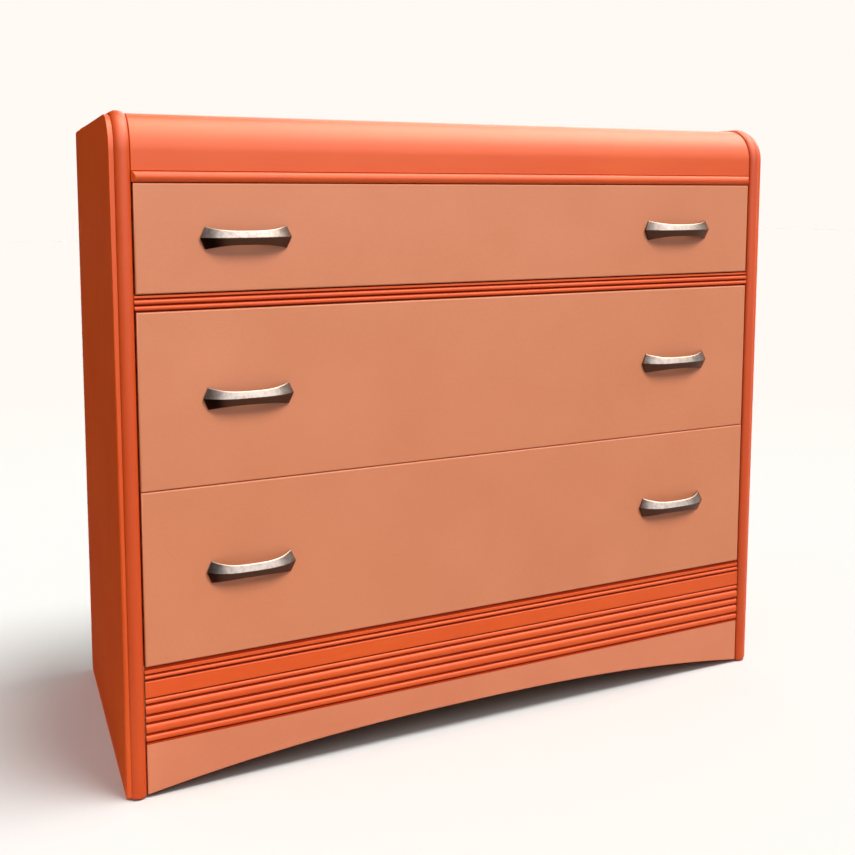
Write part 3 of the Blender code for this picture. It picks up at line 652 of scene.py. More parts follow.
# %% Tree for a swept moulding
EDGE_FULLNESS = 2.0
sweep, sizes = start_tree(
    "swept_moulding",
    Width=0.017,
    Bulge=0.0062,
    Fullness=EDGE_FULLNESS,
    Radius=ROLL_RADIUS,
    Steps=ROLL_STEPS,
    Sides=56,
)
path = add_node(sweep, "GeometryNodeMeshToCurve", {0: sizes["Geometry"]})
rolled = add_node(
    sweep,
    "GeometryNodeFilletCurve",
    {"Curve": path.outputs[0], "Count": sizes["Steps"], "Radius": sizes["Radius"], "Limit Radius": False},
    mode="POLY",
)
outline = half_round(sweep, sizes["Width"], sizes["Bulge"], sizes["Fullness"], sizes["Sides"])
swept = add_node(
    sweep,
    "GeometryNodeCurveToMesh",
    {"Curve": rolled.outputs[0], "Profile Curve": outline, "Fill Caps": True},
)
end_tree(sweep, swept.outputs[0], sizes["Finish"])
print(sweep.name, len(sweep.nodes), "nodes")

# %% Edge mouldings
edge_root = panel_low.y - SEAT


def round_foot(piece, middle):
    """Cuts rings near the floor and draws each in towards the root of the moulding."""
    shape = bmesh.new()
    shape.from_mesh(piece.data)
    cut_rings(shape)
    half_width = (edge_high.x - edge_low.x) / 2
    bulge = edge_root - edge_low.y
    for corner in shape.verts:
        if corner.co.z < FOOT_ROUND:
            inset = foot_inset(corner.co.z)
            corner.co.x = middle + (corner.co.x - middle) * (1 - inset / half_width)
            corner.co.y = edge_root + (corner.co.y - edge_root) * (1 - inset / bulge)
    shape.to_mesh(piece.data)
    shape.free()
    piece.data.set_sharp_from_angle(angle=SHARP_ANGLE)


for side, hand in (("left", -1), ("right", 1)):
    middle = hand * (edge_low.x + edge_high.x) / 2
    crown = roll_z + roll_y - edge_root
    corners = [(middle, edge_root, 0.0), (middle, edge_root, crown), (middle, rear_y, crown)]
    base = bpy.data.meshes.new("edge_path")
    base.from_pydata(corners, [(0, 1), (1, 2)], [])
    # The edge mouldings take the darker orange, which stands in for shade.
    piece = run_tree(
        f"swept_edge_{side}",
        sweep,
        base,
        orange_painted_shade_edge,
        Width=edge_high.x - edge_low.x,
        Bulge=edge_root - edge_low.y,
        Radius=roll_y - edge_root,
    )
    round_foot(piece, middle)
    print(piece.name, *extent(piece), len(piece.data.polygons), "faces")
    dress(piece, "case", [f"edge_moulding_{side}"])

# %% [markdown]
# ## The rolled top
# The top is one bent sheet: flat at the back, rolled over the front, and down to the bead. Its outline is
# a quarter circle with two straight ends, drawn across the case. The ends are eased a little, because
# paint never fills the joint beside the edge moulding and a fine dark line shows there. Years of dusting
# have dulled the flat, and the roll has kept its sheen, so its paint adds roughness behind the roll.

# %% Paint of the top
DULL_BY = 0.07  # how far behind the roll the flat has lost its sheen
DULLED = 0.4

# Orange satin enamel on the top: bright over the roll, and dull on the flat.
orange_top = satin_paint("orange_satin_enamel_top", stroke=BRUSHED_ACROSS, **ORANGE)
top_tree = orange_top.node_tree
top_roughness = top_tree.nodes["Principled BSDF"].inputs["Roughness"]
top_place = add_node(
    top_tree, "ShaderNodeSeparateXYZ", {0: add_node(top_tree, "ShaderNodeTexCoord").outputs["Object"]}
)
dusting = add_node(
    top_tree,
    "ShaderNodeMapRange",
    {"Value": top_place.outputs["Y"], "From Min": roll_y, "From Max": roll_y + DULL_BY, "To Max": DULLED},
)
dulled = add_node(
    top_tree,
    "ShaderNodeMath",
    {0: top_roughness.links[0].from_socket, 1: dusting.outputs[0]},
    operation="ADD",
)
top_tree.links.new(dulled.outputs[0], top_roughness)
print("paint:", orange_top.name)

# %% Rolled top
TOP_EASE = 0.0009
top_thickness = top_high.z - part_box("back_panel")[1].z - SEAT
outline = [(rear_y, top_high.z)]
outline += arc((roll_y, roll_z), ROLL_RADIUS, 90, 180, ROLL_STEPS)
outline += [(top_low.y, top_low.z), (top_low.y + top_thickness, top_low.z)]
outline += arc((roll_y, roll_z), ROLL_RADIUS - top_thickness, 180, 90, ROLL_STEPS)
outline += [(rear_y, top_high.z - top_thickness)]
shape = drawn_out(outline, "X", top_low.x, top_high.x)
rolled_top = make_piece("rolled_top", shape, orange_top, bevel=TOP_EASE)
dress(rolled_top, "case", ["waterfall_top"])
print(rolled_top.name, "thickness", round(top_thickness, 4), len(rolled_top.data.polygons), "faces")

# %% [markdown]
# ## The reeded mouldings
# Across the front run a bead, a reeded divider, and a plinth of reeds, a band and a cap. Each is a stack
# of bars, so one tree makes them all. Its base is a row of points, one for each bar, and each point holds
# the size of its bar. The tree sweeps one bar of unit size, round or flat, stands it on every point, and
# scales it. The ends of a bar are drawn in, as a brush and sandpaper round them. The faces that lie deep in
# the grooves get a dark paint, as painted shade. The bead is mitred against the edge mouldings.

# %% Tree for a stack of bars
ROUND_BAR, FLAT_BAR, BEAD_BAR = 0, 1, 2
FULLNESSES = {ROUND_BAR: 2.6, FLAT_BAR: 14.0, BEAD_BAR: 1.8}

reeding, sizes = start_tree("reeded_moulding", Length=0.869, End=0.0016, Shrink=0.25, Steps=7, Sides=48)
count = add_node(reeding, "ShaderNodeMath", {0: sizes["Steps"], 1: 2.0}, operation="MULTIPLY")
spots = add_node(reeding, "GeometryNodePoints", {"Count": count.outputs[0]})
index = add_node(reeding, "GeometryNodeInputIndex").outputs[0]
last = add_node(reeding, "ShaderNodeMath", {0: count.outputs[0], 1: 1.0}, operation="SUBTRACT")
mirror = add_node(reeding, "ShaderNodeMath", {0: last.outputs[0], 1: index}, operation="SUBTRACT")
inward = add_node(reeding, "ShaderNodeMath", {0: index, 1: mirror.outputs[0]}, operation="MINIMUM")
top_step = add_node(reeding, "ShaderNodeMath", {0: sizes["Steps"], 1: 1.0}, operation="SUBTRACT")
share = add_node(
    reeding, "ShaderNodeMath", {0: inward.outputs[0], 1: top_step.outputs[0]}, operation="DIVIDE"
)
turn = add_node(reeding, "ShaderNodeMath", {0: share.outputs[0], 1: math.pi / 2}, operation="MULTIPLY")
rise = add_node(reeding, "ShaderNodeMath", {0: turn.outputs[0]}, operation="SINE")
run = add_node(reeding, "ShaderNodeMath", {0: turn.outputs[0]}, operation="COSINE")
back_off = add_node(reeding, "ShaderNodeMath", {0: 1.0, 1: run.outputs[0]}, operation="SUBTRACT")
inset = add_node(reeding, "ShaderNodeMath", {0: back_off.outputs[0], 1: sizes["End"]}, operation="MULTIPLY")
half = add_node(reeding, "ShaderNodeMath", {0: sizes["Length"], 1: 0.5}, operation="MULTIPLY")
reach = add_node(reeding, "ShaderNodeMath", {0: half.outputs[0], 1: inset.outputs[0]}, operation="SUBTRACT")
hand = add_node(reeding, "ShaderNodeMath", {0: index, 1: mirror.outputs[0]}, operation="SUBTRACT")
side = add_node(reeding, "ShaderNodeMath", {0: hand.outputs[0]}, operation="SIGN")
along = add_node(reeding, "ShaderNodeMath", {0: side.outputs[0], 1: reach.outputs[0]}, operation="MULTIPLY")
place = add_node(reeding, "ShaderNodeCombineXYZ", {0: along.outputs[0]})
spread = add_node(
    reeding, "GeometryNodeSetPosition", {"Geometry": spots.outputs[0], "Position": place.outputs[0]}
)
line = add_node(reeding, "GeometryNodePointsToCurves", {0: spread.outputs[0]})
drawn_in = add_node(reeding, "ShaderNodeMath", {0: rise.outputs[0], 1: 1.0}, operation="SUBTRACT")
lost = add_node(
    reeding, "ShaderNodeMath", {0: drawn_in.outputs[0], 1: sizes["Shrink"]}, operation="MULTIPLY"
)
kept = add_node(reeding, "ShaderNodeMath", {0: lost.outputs[0], 1: 1.0}, operation="ADD")
spine = add_node(
    reeding, "GeometryNodeSetCurveRadius", {"Curve": line.outputs[0], "Radius": kept.outputs[0]}
)
kind = add_node(reeding, "GeometryNodeInputNamedAttribute", {"Name": "bar_kind"}, data_type="INT")
size = add_node(reeding, "GeometryNodeInputNamedAttribute", {"Name": "bar_size"}, data_type="FLOAT_VECTOR")
bars = add_node(reeding, "GeometryNodeJoinGeometry")
for number, fullness in FULLNESSES.items():
    outline = half_round(reeding, 1.0, 1.0, fullness, sizes["Sides"])
    bar = add_node(
        reeding,
        "GeometryNodeCurveToMesh",
        {"Curve": spine.outputs[0], "Profile Curve": outline, "Fill Caps": True},
    )
    upright = add_node(
        reeding, "GeometryNodeTransform", {"Geometry": bar.outputs[0], "Rotation": (math.pi / 2, 0.0, 0.0)}
    )
    chosen = add_node(
        reeding,
        "FunctionNodeCompare",
        {2: kind.outputs["Attribute"], 3: number},
        data_type="INT",
        operation="EQUAL",
    )
    stood = add_node(
        reeding,
        "GeometryNodeInstanceOnPoints",
        {
            "Points": sizes["Geometry"],
            "Selection": chosen.outputs[0],
            "Instance": upright.outputs[0],
            "Scale": size.outputs["Attribute"],
        },
    )
    reeding.links.new(stood.outputs[0], bars.inputs[0])
end_tree(reeding, bars.outputs[0], sizes["Finish"])
print(reeding.name, len(reeding.nodes), "nodes")

# %% Reeded mouldings
MOULDING_ROOT = 0.0042  # how far behind the drawer faces the grooves lie
BEAD_ROOT = top_low.y - face_y  # the bead springs from the rolled top's own face
SHADE_BEYOND_DEPTH = 0.0021  # faces lying deeper than this behind the drawer faces get the painted shade


def reeded(name, node, root, courses):
    """A moulding from its courses, bottom first: millimetres of groove, height and set-back, and a kind."""
    low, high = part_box(node)
    places = [(0.0, high.y, (low.z + high.z) / 2)]
    bar_sizes = [(1.0, high.y - face_y - root, high.z - low.z)]  # first, a flat board that carries the bars
    kinds = [FLAT_BAR]
    bottom = low.z
    for groove, height, set_back, kind in courses:
        bottom += (groove + height / 2) / 1000
        places.append((0.0, face_y + root, bottom))
        bar_sizes.append((1.0, root - set_back / 1000, height / 1000))
        kinds.append(kind)
        bottom += height / 2000
    base = bpy.data.meshes.new("bar_points")
    base.from_pydata(places, [], [])
    base.attributes.new("bar_size", "FLOAT_VECTOR", "POINT").data.foreach_set(
        "vector", [number for bar_size in bar_sizes for number in bar_size]
    )
    base.attributes.new("bar_kind", "INT", "POINT").data.foreach_set("value", kinds)
    piece = run_tree(name, reeding, base, orange_across, Length=high.x - low.x)
    piece.data.materials.append(painted_recess_shade)
    # faces deep in the grooves get the dark paint, as painted shade
    for face in piece.data.polygons:
        if face.center.y > face_y + SHADE_BEYOND_DEPTH:
            face.material_index = 1
    return dress(piece, "case", [node])


def mitre(piece, root):
    """Cuts the ends of a moulding back by as much as it stands ahead of its root."""
    for corner in piece.data.vertices:
        ahead = max(0.0, face_y + root - corner.co.y)
        corner.co.x -= math.copysign(ahead, corner.co.x)


MOULDINGS = {
    "rolled_bead": ("top_bead", BEAD_ROOT, [(0.0, 12.1, -3.0, BEAD_BAR)]),
    "reeded_divider": (
        "divider_reeding",
        MOULDING_ROOT,
        [(1.2, 5.1, 0.4, ROUND_BAR), (1.9, 5.2, 0.4, ROUND_BAR), (2.1, 2.5, 1.8, FLAT_BAR)],
    ),
    "plinth_top_moulding": (
        "plinth_cap",
        MOULDING_ROOT,
        [(1.4, 4.8, 0.6, ROUND_BAR), (2.2, 4.1, 1.6, FLAT_BAR)],
    ),
    "plinth_flat_band": ("plinth_band", MOULDING_ROOT, [(0.4, 20.0, 0.8, FLAT_BAR)]),
    "plinth_reeds": (
        "plinth_reeding",
        MOULDING_ROOT,
        [
            (1.0, 8.0, 0.6, ROUND_BAR),
            (2.1, 11.1, 0.2, ROUND_BAR),
            (2.1, 7.8, 0.6, ROUND_BAR),
            (2.1, 10.8, 0.2, ROUND_BAR),
            (2.1, 6.0, 0.6, ROUND_BAR),
        ],
    ),
}
for name, (node, root, courses) in MOULDINGS.items():
    piece = reeded(name, node, root, courses)
    if node == "top_bead":
        mitre(piece, root)
    print(piece.name, *extent(piece), len(piece.data.polygons), "faces")

# %% [markdown]
# ## The arched apron
# Below the plinth a salmon board closes the front. Its lower edge is sawn to a long flat arch that rises
# fast at the ends and levels out in the middle, which a power curve gives. The sawn edge is eased, as a
# painter would do before painting it. Its top, in the joint under the reeds, gets the dark painted shade.

# %% Apron
ARCH_RISE = 0.0275
ARCH_POWER = 2.4
ARCH_STEPS = 96
APRON_EASE = 0.0012
apron_low, apron_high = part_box("arched_apron")
outline = [(apron_low.x, apron_high.z), (apron_high.x, apron_high.z)]
for step in range(ARCH_STEPS + 1):
    across = 1 - 2 * step / ARCH_STEPS
    outline.append((apron_high.x * across, apron_low.z + ARCH_RISE * (1 - abs(across) ** ARCH_POWER)))
shape = drawn_out(outline, "Y", apron_low.y, apron_high.y)
apron = make_piece("sawn_apron", shape, salmon_apron, bevel=APRON_EASE)
# its top faces, in the joint under the reeds, get the dark paint as painted shade
apron.data.materials.append(painted_recess_shade)
for face in apron.data.polygons:
    if face.center.z > apron_high.z - APRON_EASE:
        face.material_index = 1
dress(apron, "case", ["arched_apron"])
print(apron.name, len(apron.data.polygons), "faces")

# %% [markdown]
# ## Drawer boxes
# The boards of the drawers have sockets, tails and grooves that fit each other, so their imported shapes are
# right. They are only loose flat triangles, though. A copy with its corners merged takes smooth shading,
# and a fine bevel on the bare boards breaks their edges as a plane does and draws the joints.

# %% Drawer boards
BOARD_EASE = 0.0005
FLAT_ANGLE = math.radians(0.2)  # triangles that meet flatter than this are one face


def board_copy(name, node, material, ease=0.0):
    """A merged copy of a board, with its edges eased."""
    shape = bmesh.new()
    shape.from_mesh(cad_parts[node].data)
    bmesh.ops.remove_doubles(shape, verts=shape.verts, dist=MERGE)
    bmesh.ops.dissolve_limit(shape, angle_limit=FLAT_ANGLE, verts=shape.verts, edges=shape.edges)
    return make_piece(name, shape, material, bevel=ease)


for level in ("upper", "middle", "lower"):
    body = f"{level}_drawer"
    node = f"{body}_front"
    dress(board_copy(f"{level}_painted_front", node, salmon), body, [node])
    for side in ("left", "right"):
        node = f"{body}_side_{side}"
        piece = board_copy(f"{level}_dovetailed_side_{side}", node, drawer_wood["Y"], BOARD_EASE)
        dress(piece, body, [node])
    node = f"{body}_back"
    piece = board_copy(f"{level}_planed_back", node, drawer_wood["X"], BOARD_EASE)
    dress(piece, body, [node])
    node = f"{body}_bottom"
    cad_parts[node].data.materials.clear()
    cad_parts[node].data.materials.append(plywood["X"])
    print(body, "dressed")

# %% [markdown]
# ## The pulls
# Each pull is a cast band that bows away from the drawer: widest and pointed at its two ends, narrow at
# the waist, with a ridge along its middle and a hollow back. It is a loft, a row of cross-sections from
# tip to tip. Every section has six corners, and each corner is a short curve, so that the ridge and the
# rims catch a thin line of light as worn castings do. The faces round the upper corner get a brighter
# bronze, partly wear and partly a painted highlight along the rim, and two bosses behind the band take
# the screws.

# %% Sections of a pull
PULL_EDGE_LENGTH = 0.096
PULL_WAIST = 0.017
PULL_RIDGE = 0.0042
PULL_RIM = 0.0020
PULL_WALL = 0.0030
PULL_TIP = 0.0041
PULL_LIP = 0.0005
PULL_BOW = 3.4
PULL_FLARE = 2.8
PULL_STEPS = 56
CORNER_ROUNDS = (0.0016, 0.0008, 0.0008, 0.0005, 0.0008, 0.0005)
CORNER_STEPS = 3


def pull_corners(along, length, end_height, stand):
    """The six corners of a section as (along, off the drawer, up), from -1 at one tip to 1 at the other."""
    bow = 1 - abs(along) ** PULL_BOW
    ridge = PULL_TIP + (stand - PULL_TIP) * bow
    foot = PULL_RIM + SEAT
    edge = foot + (stand - PULL_RIDGE - foot) * bow
    hollow = max(SEAT, ridge - PULL_WALL)
    half = (PULL_WAIST + (end_height - PULL_WAIST) * abs(along) ** PULL_FLARE) / 2
    long = along * length / 2
    short = along * PULL_EDGE_LENGTH / 2
    return [
        Vector((short, -edge, half)),
        Vector((long, -ridge, 0.0)),
        Vector((short, -edge, -half)),
        Vector((short, PULL_RIM - edge, PULL_LIP - half)),
        Vector((long, -hollow, 0.0)),
        Vector((short, PULL_RIM - edge, half - PULL_LIP)),
    ]


def rounded(corners):
    """A section with each corner turned into a short curve."""
    points = []
    for index, corner in enumerate(corners):
        before = (corners[index - 1] - corner).normalized() * CORNER_ROUNDS[index]
        after = (corners[(index + 1) % len(corners)] - corner).normalized() * CORNER_ROUNDS[index]
        for step in range(CORNER_STEPS + 1):
            share = step / CORNER_STEPS
            points.append(corner + before * (1 - share) ** 2 + after * share**2)
    return points


# %% Pulls
SCREW_SPACING = 0.076
BOSS_RADIUS = 0.0040
BOSS_TAPER = 1.15
BOSS_SIDES = 24


def pull_shape(centre, length, end_height, stand):
    """The band of one pull and the two bosses that its screws bite into."""
    shape = bmesh.new()
    rings = []
    for step in range(PULL_STEPS + 1):
        section = rounded(pull_corners(2 * step / PULL_STEPS - 1, length, end_height, stand))
        rings.append([shape.verts.new(centre + point) for point in section])
    around = len(rings[0])
    for before, after in zip(rings, rings[1:]):
        for index in range(around):
            following = (index + 1) % around
            face = shape.faces.new((before[index], before[following], after[following], after[index]))
            # faces round the upper corner take the brighter bronze: wear and a painted highlight
            face.material_index = int(index < CORNER_STEPS or following == 0)
    for ring in (rings[0], rings[-1]):
        outer = ring[:around // 2]
        inner = ring[around // 2:][::-1]
        for index in range(len(outer) - 1):
            shape.faces.new((outer[index], outer[index + 1], inner[index + 1], inner[index]))
    bow = 1 - ((SCREW_SPACING + 2 * BOSS_RADIUS) / length) ** PULL_BOW
    boss_height = PULL_TIP + (stand - PULL_TIP) * bow - PULL_WALL
    for end in (-1, 1):
        ring = bmesh.ops.create_cone(
            shape,
            cap_ends=True,
            segments=BOSS_SIDES,
            radius1=BOSS_RADIUS,
            radius2=BOSS_RADIUS * BOSS_TAPER,
            depth=boss_height - SEAT,
        )
        for corner in ring["verts"]:
            across, out, up = corner.co
            ahead = up + (boss_height + SEAT) / 2
            corner.co = centre + Vector((across + end * SCREW_SPACING / 2, -ahead, out))
    return shape


for level in ("upper", "middle", "lower"):
    for side in ("left", "right"):
        node = f"{level}_pull_{side}"
        low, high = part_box(node)
        centre = Vector(((low.x + high.x) / 2, face_y, (low.z + high.z) / 2))
        shape = pull_shape(centre, high.x - low.x, high.z - low.z, face_y - low.y)
        piece = make_piece(f"{level}_cast_pull_{side}", shape, aged_bronze)
        piece.data.materials.append(worn_and_highlit_bronze)
        dress(piece, f"{level}_drawer", [node])
    print(level, "pulls,", len(piece.data.polygons), "faces each")

# %% [markdown]
# ## Screws and pins
# Two screws hold each pull from inside the drawer, and small pins hold the back in its rebate. They are
# the same shape many times over, so a tree sets them out. A screw's head is half a flattened ball with a
# slot cut across it, and each is turned by a random angle, since nobody lines up slots inside a drawer.
# The pins follow the edge of the back, at an even spacing.

# %% Tree for slotted screws
screws, sizes = start_tree("slotted_screws", Radius=0.0042, Height=0.0024, Slot=0.0011, Seed=7)
ball = add_node(screws, "GeometryNodeMeshUVSphere", {"Segments": 24, "Rings": 12, "Radius": 1.0})
dome_size = add_node(
    screws, "ShaderNodeCombineXYZ", {"X": sizes["Radius"], "Y": sizes["Radius"], "Z": sizes["Height"]}
)
dome = add_node(
    screws, "GeometryNodeTransform", {"Geometry": ball.outputs[0], "Scale": dome_size.outputs[0]}
)
wide = add_node(screws, "ShaderNodeMath", {0: sizes["Radius"], 1: 3.0}, operation="MULTIPLY")
below = add_node(screws, "ShaderNodeMath", {0: sizes["Height"], 1: -1.0}, operation="MULTIPLY")
deep = add_node(screws, "ShaderNodeMath", {0: sizes["Height"], 1: 2.0}, operation="MULTIPLY")
seat_size = add_node(
    screws, "ShaderNodeCombineXYZ", {"X": wide.outputs[0], "Y": wide.outputs[0], "Z": deep.outputs[0]}
)
slot_size = add_node(
    screws, "ShaderNodeCombineXYZ", {"X": wide.outputs[0], "Y": sizes["Slot"], "Z": sizes["Height"]}
)
cutters = add_node(screws, "GeometryNodeJoinGeometry")
for size, shift in ((seat_size, below.outputs[0]), (slot_size, sizes["Height"])):
    block = add_node(screws, "GeometryNodeMeshCube", {"Size": size.outputs[0]})
    moved = add_node(
        screws,
        "GeometryNodeTransform",
        {
            "Geometry": block.outputs[0],
            "Translation": add_node(screws, "ShaderNodeCombineXYZ", {"Z": shift}).outputs[0],
        },
    )
    screws.links.new(moved.outputs[0], cutters.inputs[0])
head = add_node(
    screws,
    "GeometryNodeMeshBoolean",
    {0: dome.outputs[0], 1: cutters.outputs[0]},
    operation="DIFFERENCE",
    solver="EXACT",
)
turned = add_node(
    screws, "FunctionNodeRandomValue", {2: 0.0, 3: math.pi, "Seed": sizes["Seed"]}, data_type="FLOAT"
)
aim = add_node(screws, "ShaderNodeCombineXYZ", {"X": -math.pi / 2, "Y": turned.outputs[1]})
aimed = add_node(screws, "FunctionNodeEulerToRotation", {0: aim.outputs[0]})
driven = add_node(
    screws,
    "GeometryNodeInstanceOnPoints",
    {"Points": sizes["Geometry"], "Instance": head.outputs[0], "Rotation": aimed.outputs[0]},
)
end_tree(screws, driven.outputs[0], sizes["Finish"])
print(screws.name, len(screws.nodes), "nodes")

# %% Screws inside the drawers
for level in ("upper", "middle", "lower"):
    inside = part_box(f"{level}_drawer_front")[1].y
    places = []
    for side in ("left", "right"):
        low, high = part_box(f"{level}_pull_{side}")
        for end in (-1, 1):
            along = (low.x + high.x) / 2 + end * SCREW_SPACING / 2
            places.append((along, inside, (low.z + high.z) / 2))
    base = bpy.data.meshes.new("screw_points")
    base.from_pydata(places, [], [])
    piece = run_tree(f"{level}_pull_screws", screws, base, plated_steel)
    dress(piece, f"{level}_drawer", [])
    print(piece.name, len(piece.data.polygons), "faces")

# %% Pins round the back
PIN_MARGIN = 0.0065
pins, sizes = start_tree("panel_pins", Radius=0.0018, Proud=0.0007, Spacing=0.09)
edge_line = add_node(pins, "GeometryNodeMeshToCurve", {0: sizes["Geometry"]})
spaced = add_node(
    pins,
    "GeometryNodeResampleCurve",
    {"Curve": edge_line.outputs[0], "Length": sizes["Spacing"]},
    mode="LENGTH",
)
ball = add_node(pins, "GeometryNodeMeshUVSphere", {"Segments": 12, "Rings": 6, "Radius": 1.0})
flat = add_node(
    pins, "ShaderNodeCombineXYZ", {"X": sizes["Radius"], "Y": sizes["Proud"], "Z": sizes["Radius"]}
)
knocked = add_node(
    pins,
    "GeometryNodeInstanceOnPoints",
    {"Points": spaced.outputs[0], "Instance": ball.outputs[0], "Scale": flat.outputs[0]},
)
end_tree(pins, knocked.outputs[0], sizes["Finish"])

back_low, back_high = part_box("back_panel")
left, right = back_low.x + PIN_MARGIN, back_high.x - PIN_MARGIN
bottom, top = back_low.z + PIN_MARGIN, back_high.z - PIN_MARGIN
corners = [(left, back_high.y, bottom), (right, back_high.y, bottom)]
corners += [(right, back_high.y, top), (left, back_high.y, top)]
base = bpy.data.meshes.new("pin_line")
base.from_pydata(corners, [(0, 1), (1, 2), (2, 3), (3, 0)], [])
piece = run_tree("back_panel_pins", pins, base, plated_steel)
dress(piece, "case", [])
print(piece.name, len(piece.data.polygons), "faces")

# %% [markdown]
# ## Bare boards inside
# The rails, runners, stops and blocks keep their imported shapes, which are plain boards, and only get wood
# whose grain runs along each board's longest side.

# %% Inner boards
replaced = set()
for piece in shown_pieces():
    replaced.update(piece.get("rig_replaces", []))
for name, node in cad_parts.items():
    if name in replaced or name.endswith("_drawer_bottom"):
        continue
    low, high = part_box(name)
    spans = high - low
    grain = max(AXES, key=lambda axis: spans[AXES[axis]])
    board = plywood["Z"] if name == "back_panel" else frame_wood[grain]
    node.data.materials.clear()
    node.data.materials.append(board)
print("boards left as packed:", len(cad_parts) - len(replaced))

# %% [markdown]
# ## Floor
# The chest stands on a plain pale floor. A white floor also throws light up at everything, and the
# undersides of the reeds would then be as bright as their tops. So the floor shows its cream colour to the
# camera and in reflections, and gives the boards less light back, as a darker floor would. Only a strip
# along the left side gives back all its light, and brightens the foot of that shaded side. Near the chest
# the cream is a little cooler, which makes up for the warm light that the paint throws on it.

# %% Floor
CREAM = "FFFAF4"
FAR_CREAM = "EBE6E0"
NEAR_CREAM = "EBEBE8"
NEAR, FAR = 0.6, 2.5  # metres from the chest, between which one cream fades into the other
FLOOR_BOUNCE = "96918A"
LEFT_BOUNCE = "FFFAF4"
LEFT_REACH = 0.25
FLOOR_SIZE = 30.0

floor_shape = bmesh.new()
bmesh.ops.create_grid(floor_shape, x_segments=1, y_segments=1, size=FLOOR_SIZE / 2)
floor_mesh = bpy.data.meshes.new("floor")
floor_shape.to_mesh(floor_mesh)
floor_shape.free()
# Matt cream paint: no sheen at all, so only shadows show on it.
floor_paint, floor_tree, coordinates = start_finish("matt_cream_floor")
floor_place = coordinates["Object"]
floor_spot = add_node(floor_tree, "ShaderNodeSeparateXYZ", {0: floor_place})
floor_distance = add_node(floor_tree, "ShaderNodeVectorMath", {0: floor_place}, operation="LENGTH")
floor_fading = add_node(
    floor_tree,
    "ShaderNodeMapRange",
    {"Value": floor_distance.outputs["Value"], "From Min": NEAR, "From Max": FAR},
)
floor_cream = add_node(
    floor_tree,
    "ShaderNodeMix",
    {0: floor_fading.outputs[0], 6: linear(NEAR_CREAM), 7: linear(FAR_CREAM)},
    data_type="RGBA",
)
floor_left = add_node(
    floor_tree,
    "ShaderNodeMath",
    {0: floor_spot.outputs["X"], 1: cad_box[0].x - LEFT_REACH / 2, 2: LEFT_REACH / 2},
    operation="COMPARE",
)
floor_bounce = add_node(
    floor_tree,
    "ShaderNodeMix",
    {0: floor_left.outputs[0], 6: linear(FLOOR_BOUNCE), 7: linear(LEFT_BOUNCE)},
    data_type="RGBA",
)
floor_rays = add_node(floor_tree, "ShaderNodeLightPath").outputs
floor_colour = add_node(
    floor_tree,
    "ShaderNodeMix",
    {0: floor_rays["Is Diffuse Ray"], 6: floor_cream.outputs[2], 7: floor_bounce.outputs[2]},
    data_type="RGBA",
)
floor_shader = floor_tree.nodes["Principled BSDF"]
floor_tree.links.new(floor_colour.outputs[2], floor_shader.inputs["Base Color"])
floor_shader.inputs["Roughness"].default_value = 1.0
floor_shader.inputs["Specular IOR Level"].default_value = 0.0
floor = link_object("floor", floor_mesh, floor_paint)
print("floor", FLOOR_SIZE, "m across")

# %% [markdown]
# ## Light
# The camera sees an even cream background, and the air gives a dim light from all round. Reflections see a
# room instead: a ceiling, and walls that grow brighter to the right. Three far lamps light the chest: one
# in front and above, a low one at the right, and one at the left for the shaded side. They don't show in
# reflections, where soft boxes stand in for them and draw the pale line along the roll. A black cloth on
# the floor at the left keeps glare off the shaded side, and only reflections see it. The floor has two
# lamps of its own, by light linking, so that its shadow can be short and dark while the chest is softly lit.

# %% Background and all-round light
ALL_ROUND = 0.15
CEILING_GLOW = 1.5
WALL_GLOW = 1.0
REAR_GLOW = 1.4
# Each part of the room fades in between two values of one axis of the direction that a ray takes.
CEILING_RISE = {"From Min": 0.3, "From Max": 0.9}
CEILING_END = {"From Min": 0.6, "From Max": 0.2}
FRONT_WALL = {"From Min": -0.3, "From Max": 0.3}
REAR_WALL = {"From Min": 0.2, "From Max": 0.95}
BEHIND = {"From Min": -0.2, "From Max": 0.2}

world = bpy.data.worlds.new("studio")
bpy.context.scene.world = world
world.use_nodes = True
air = world.node_tree
air.nodes.clear()
rays = add_node(air, "ShaderNodeLightPath").outputs
towards = add_node(
    air, "ShaderNodeSeparateXYZ", {0: add_node(air, "ShaderNodeTexCoord").outputs["Generated"]}
).outputs
ceiling = add_node(
    air,
    "ShaderNodeMapRange",
    {"Value": towards["Z"], **CEILING_RISE, "To Max": CEILING_GLOW},
    interpolation_type="SMOOTHSTEP",
)
ceiling_end = add_node(air, "ShaderNodeMapRange", {"Value": towards["Y"], **CEILING_END})
overhead = add_node(
    air, "ShaderNodeMath", {0: ceiling.outputs[0], 1: ceiling_end.outputs[0]}, operation="MULTIPLY"
)
front_wall = add_node(
    air,
    "ShaderNodeMapRange",
    {"Value": towards["X"], **FRONT_WALL, "To Max": WALL_GLOW},
    interpolation_type="SMOOTHSTEP",
)
rear_wall = add_node(
    air, "ShaderNodeMapRange", {"Value": towards["X"], **REAR_WALL, "To Max": REAR_GLOW}
)
behind = add_node(air, "ShaderNodeMapRange", {"Value": towards["Y"], **BEHIND})
walls = add_node(
    air,
    "ShaderNodeMix",
    {0: behind.outputs[0], 2: front_wall.outputs[0], 3: rear_wall.outputs[0]},
    data_type="FLOAT",
)
room = add_node(air, "ShaderNodeMath", {0: overhead.outputs[0], 1: walls.outputs[0]}, operation="ADD")
strength = add_node(
    air, "ShaderNodeMix", {0: rays["Is Glossy Ray"], 2: 1.0, 3: room.outputs[0]}, data_type="FLOAT"
)
seen = add_node(
    air, "ShaderNodeMath", {0: rays["Is Camera Ray"], 1: rays["Is Glossy Ray"]}, operation="MAXIMUM"
)
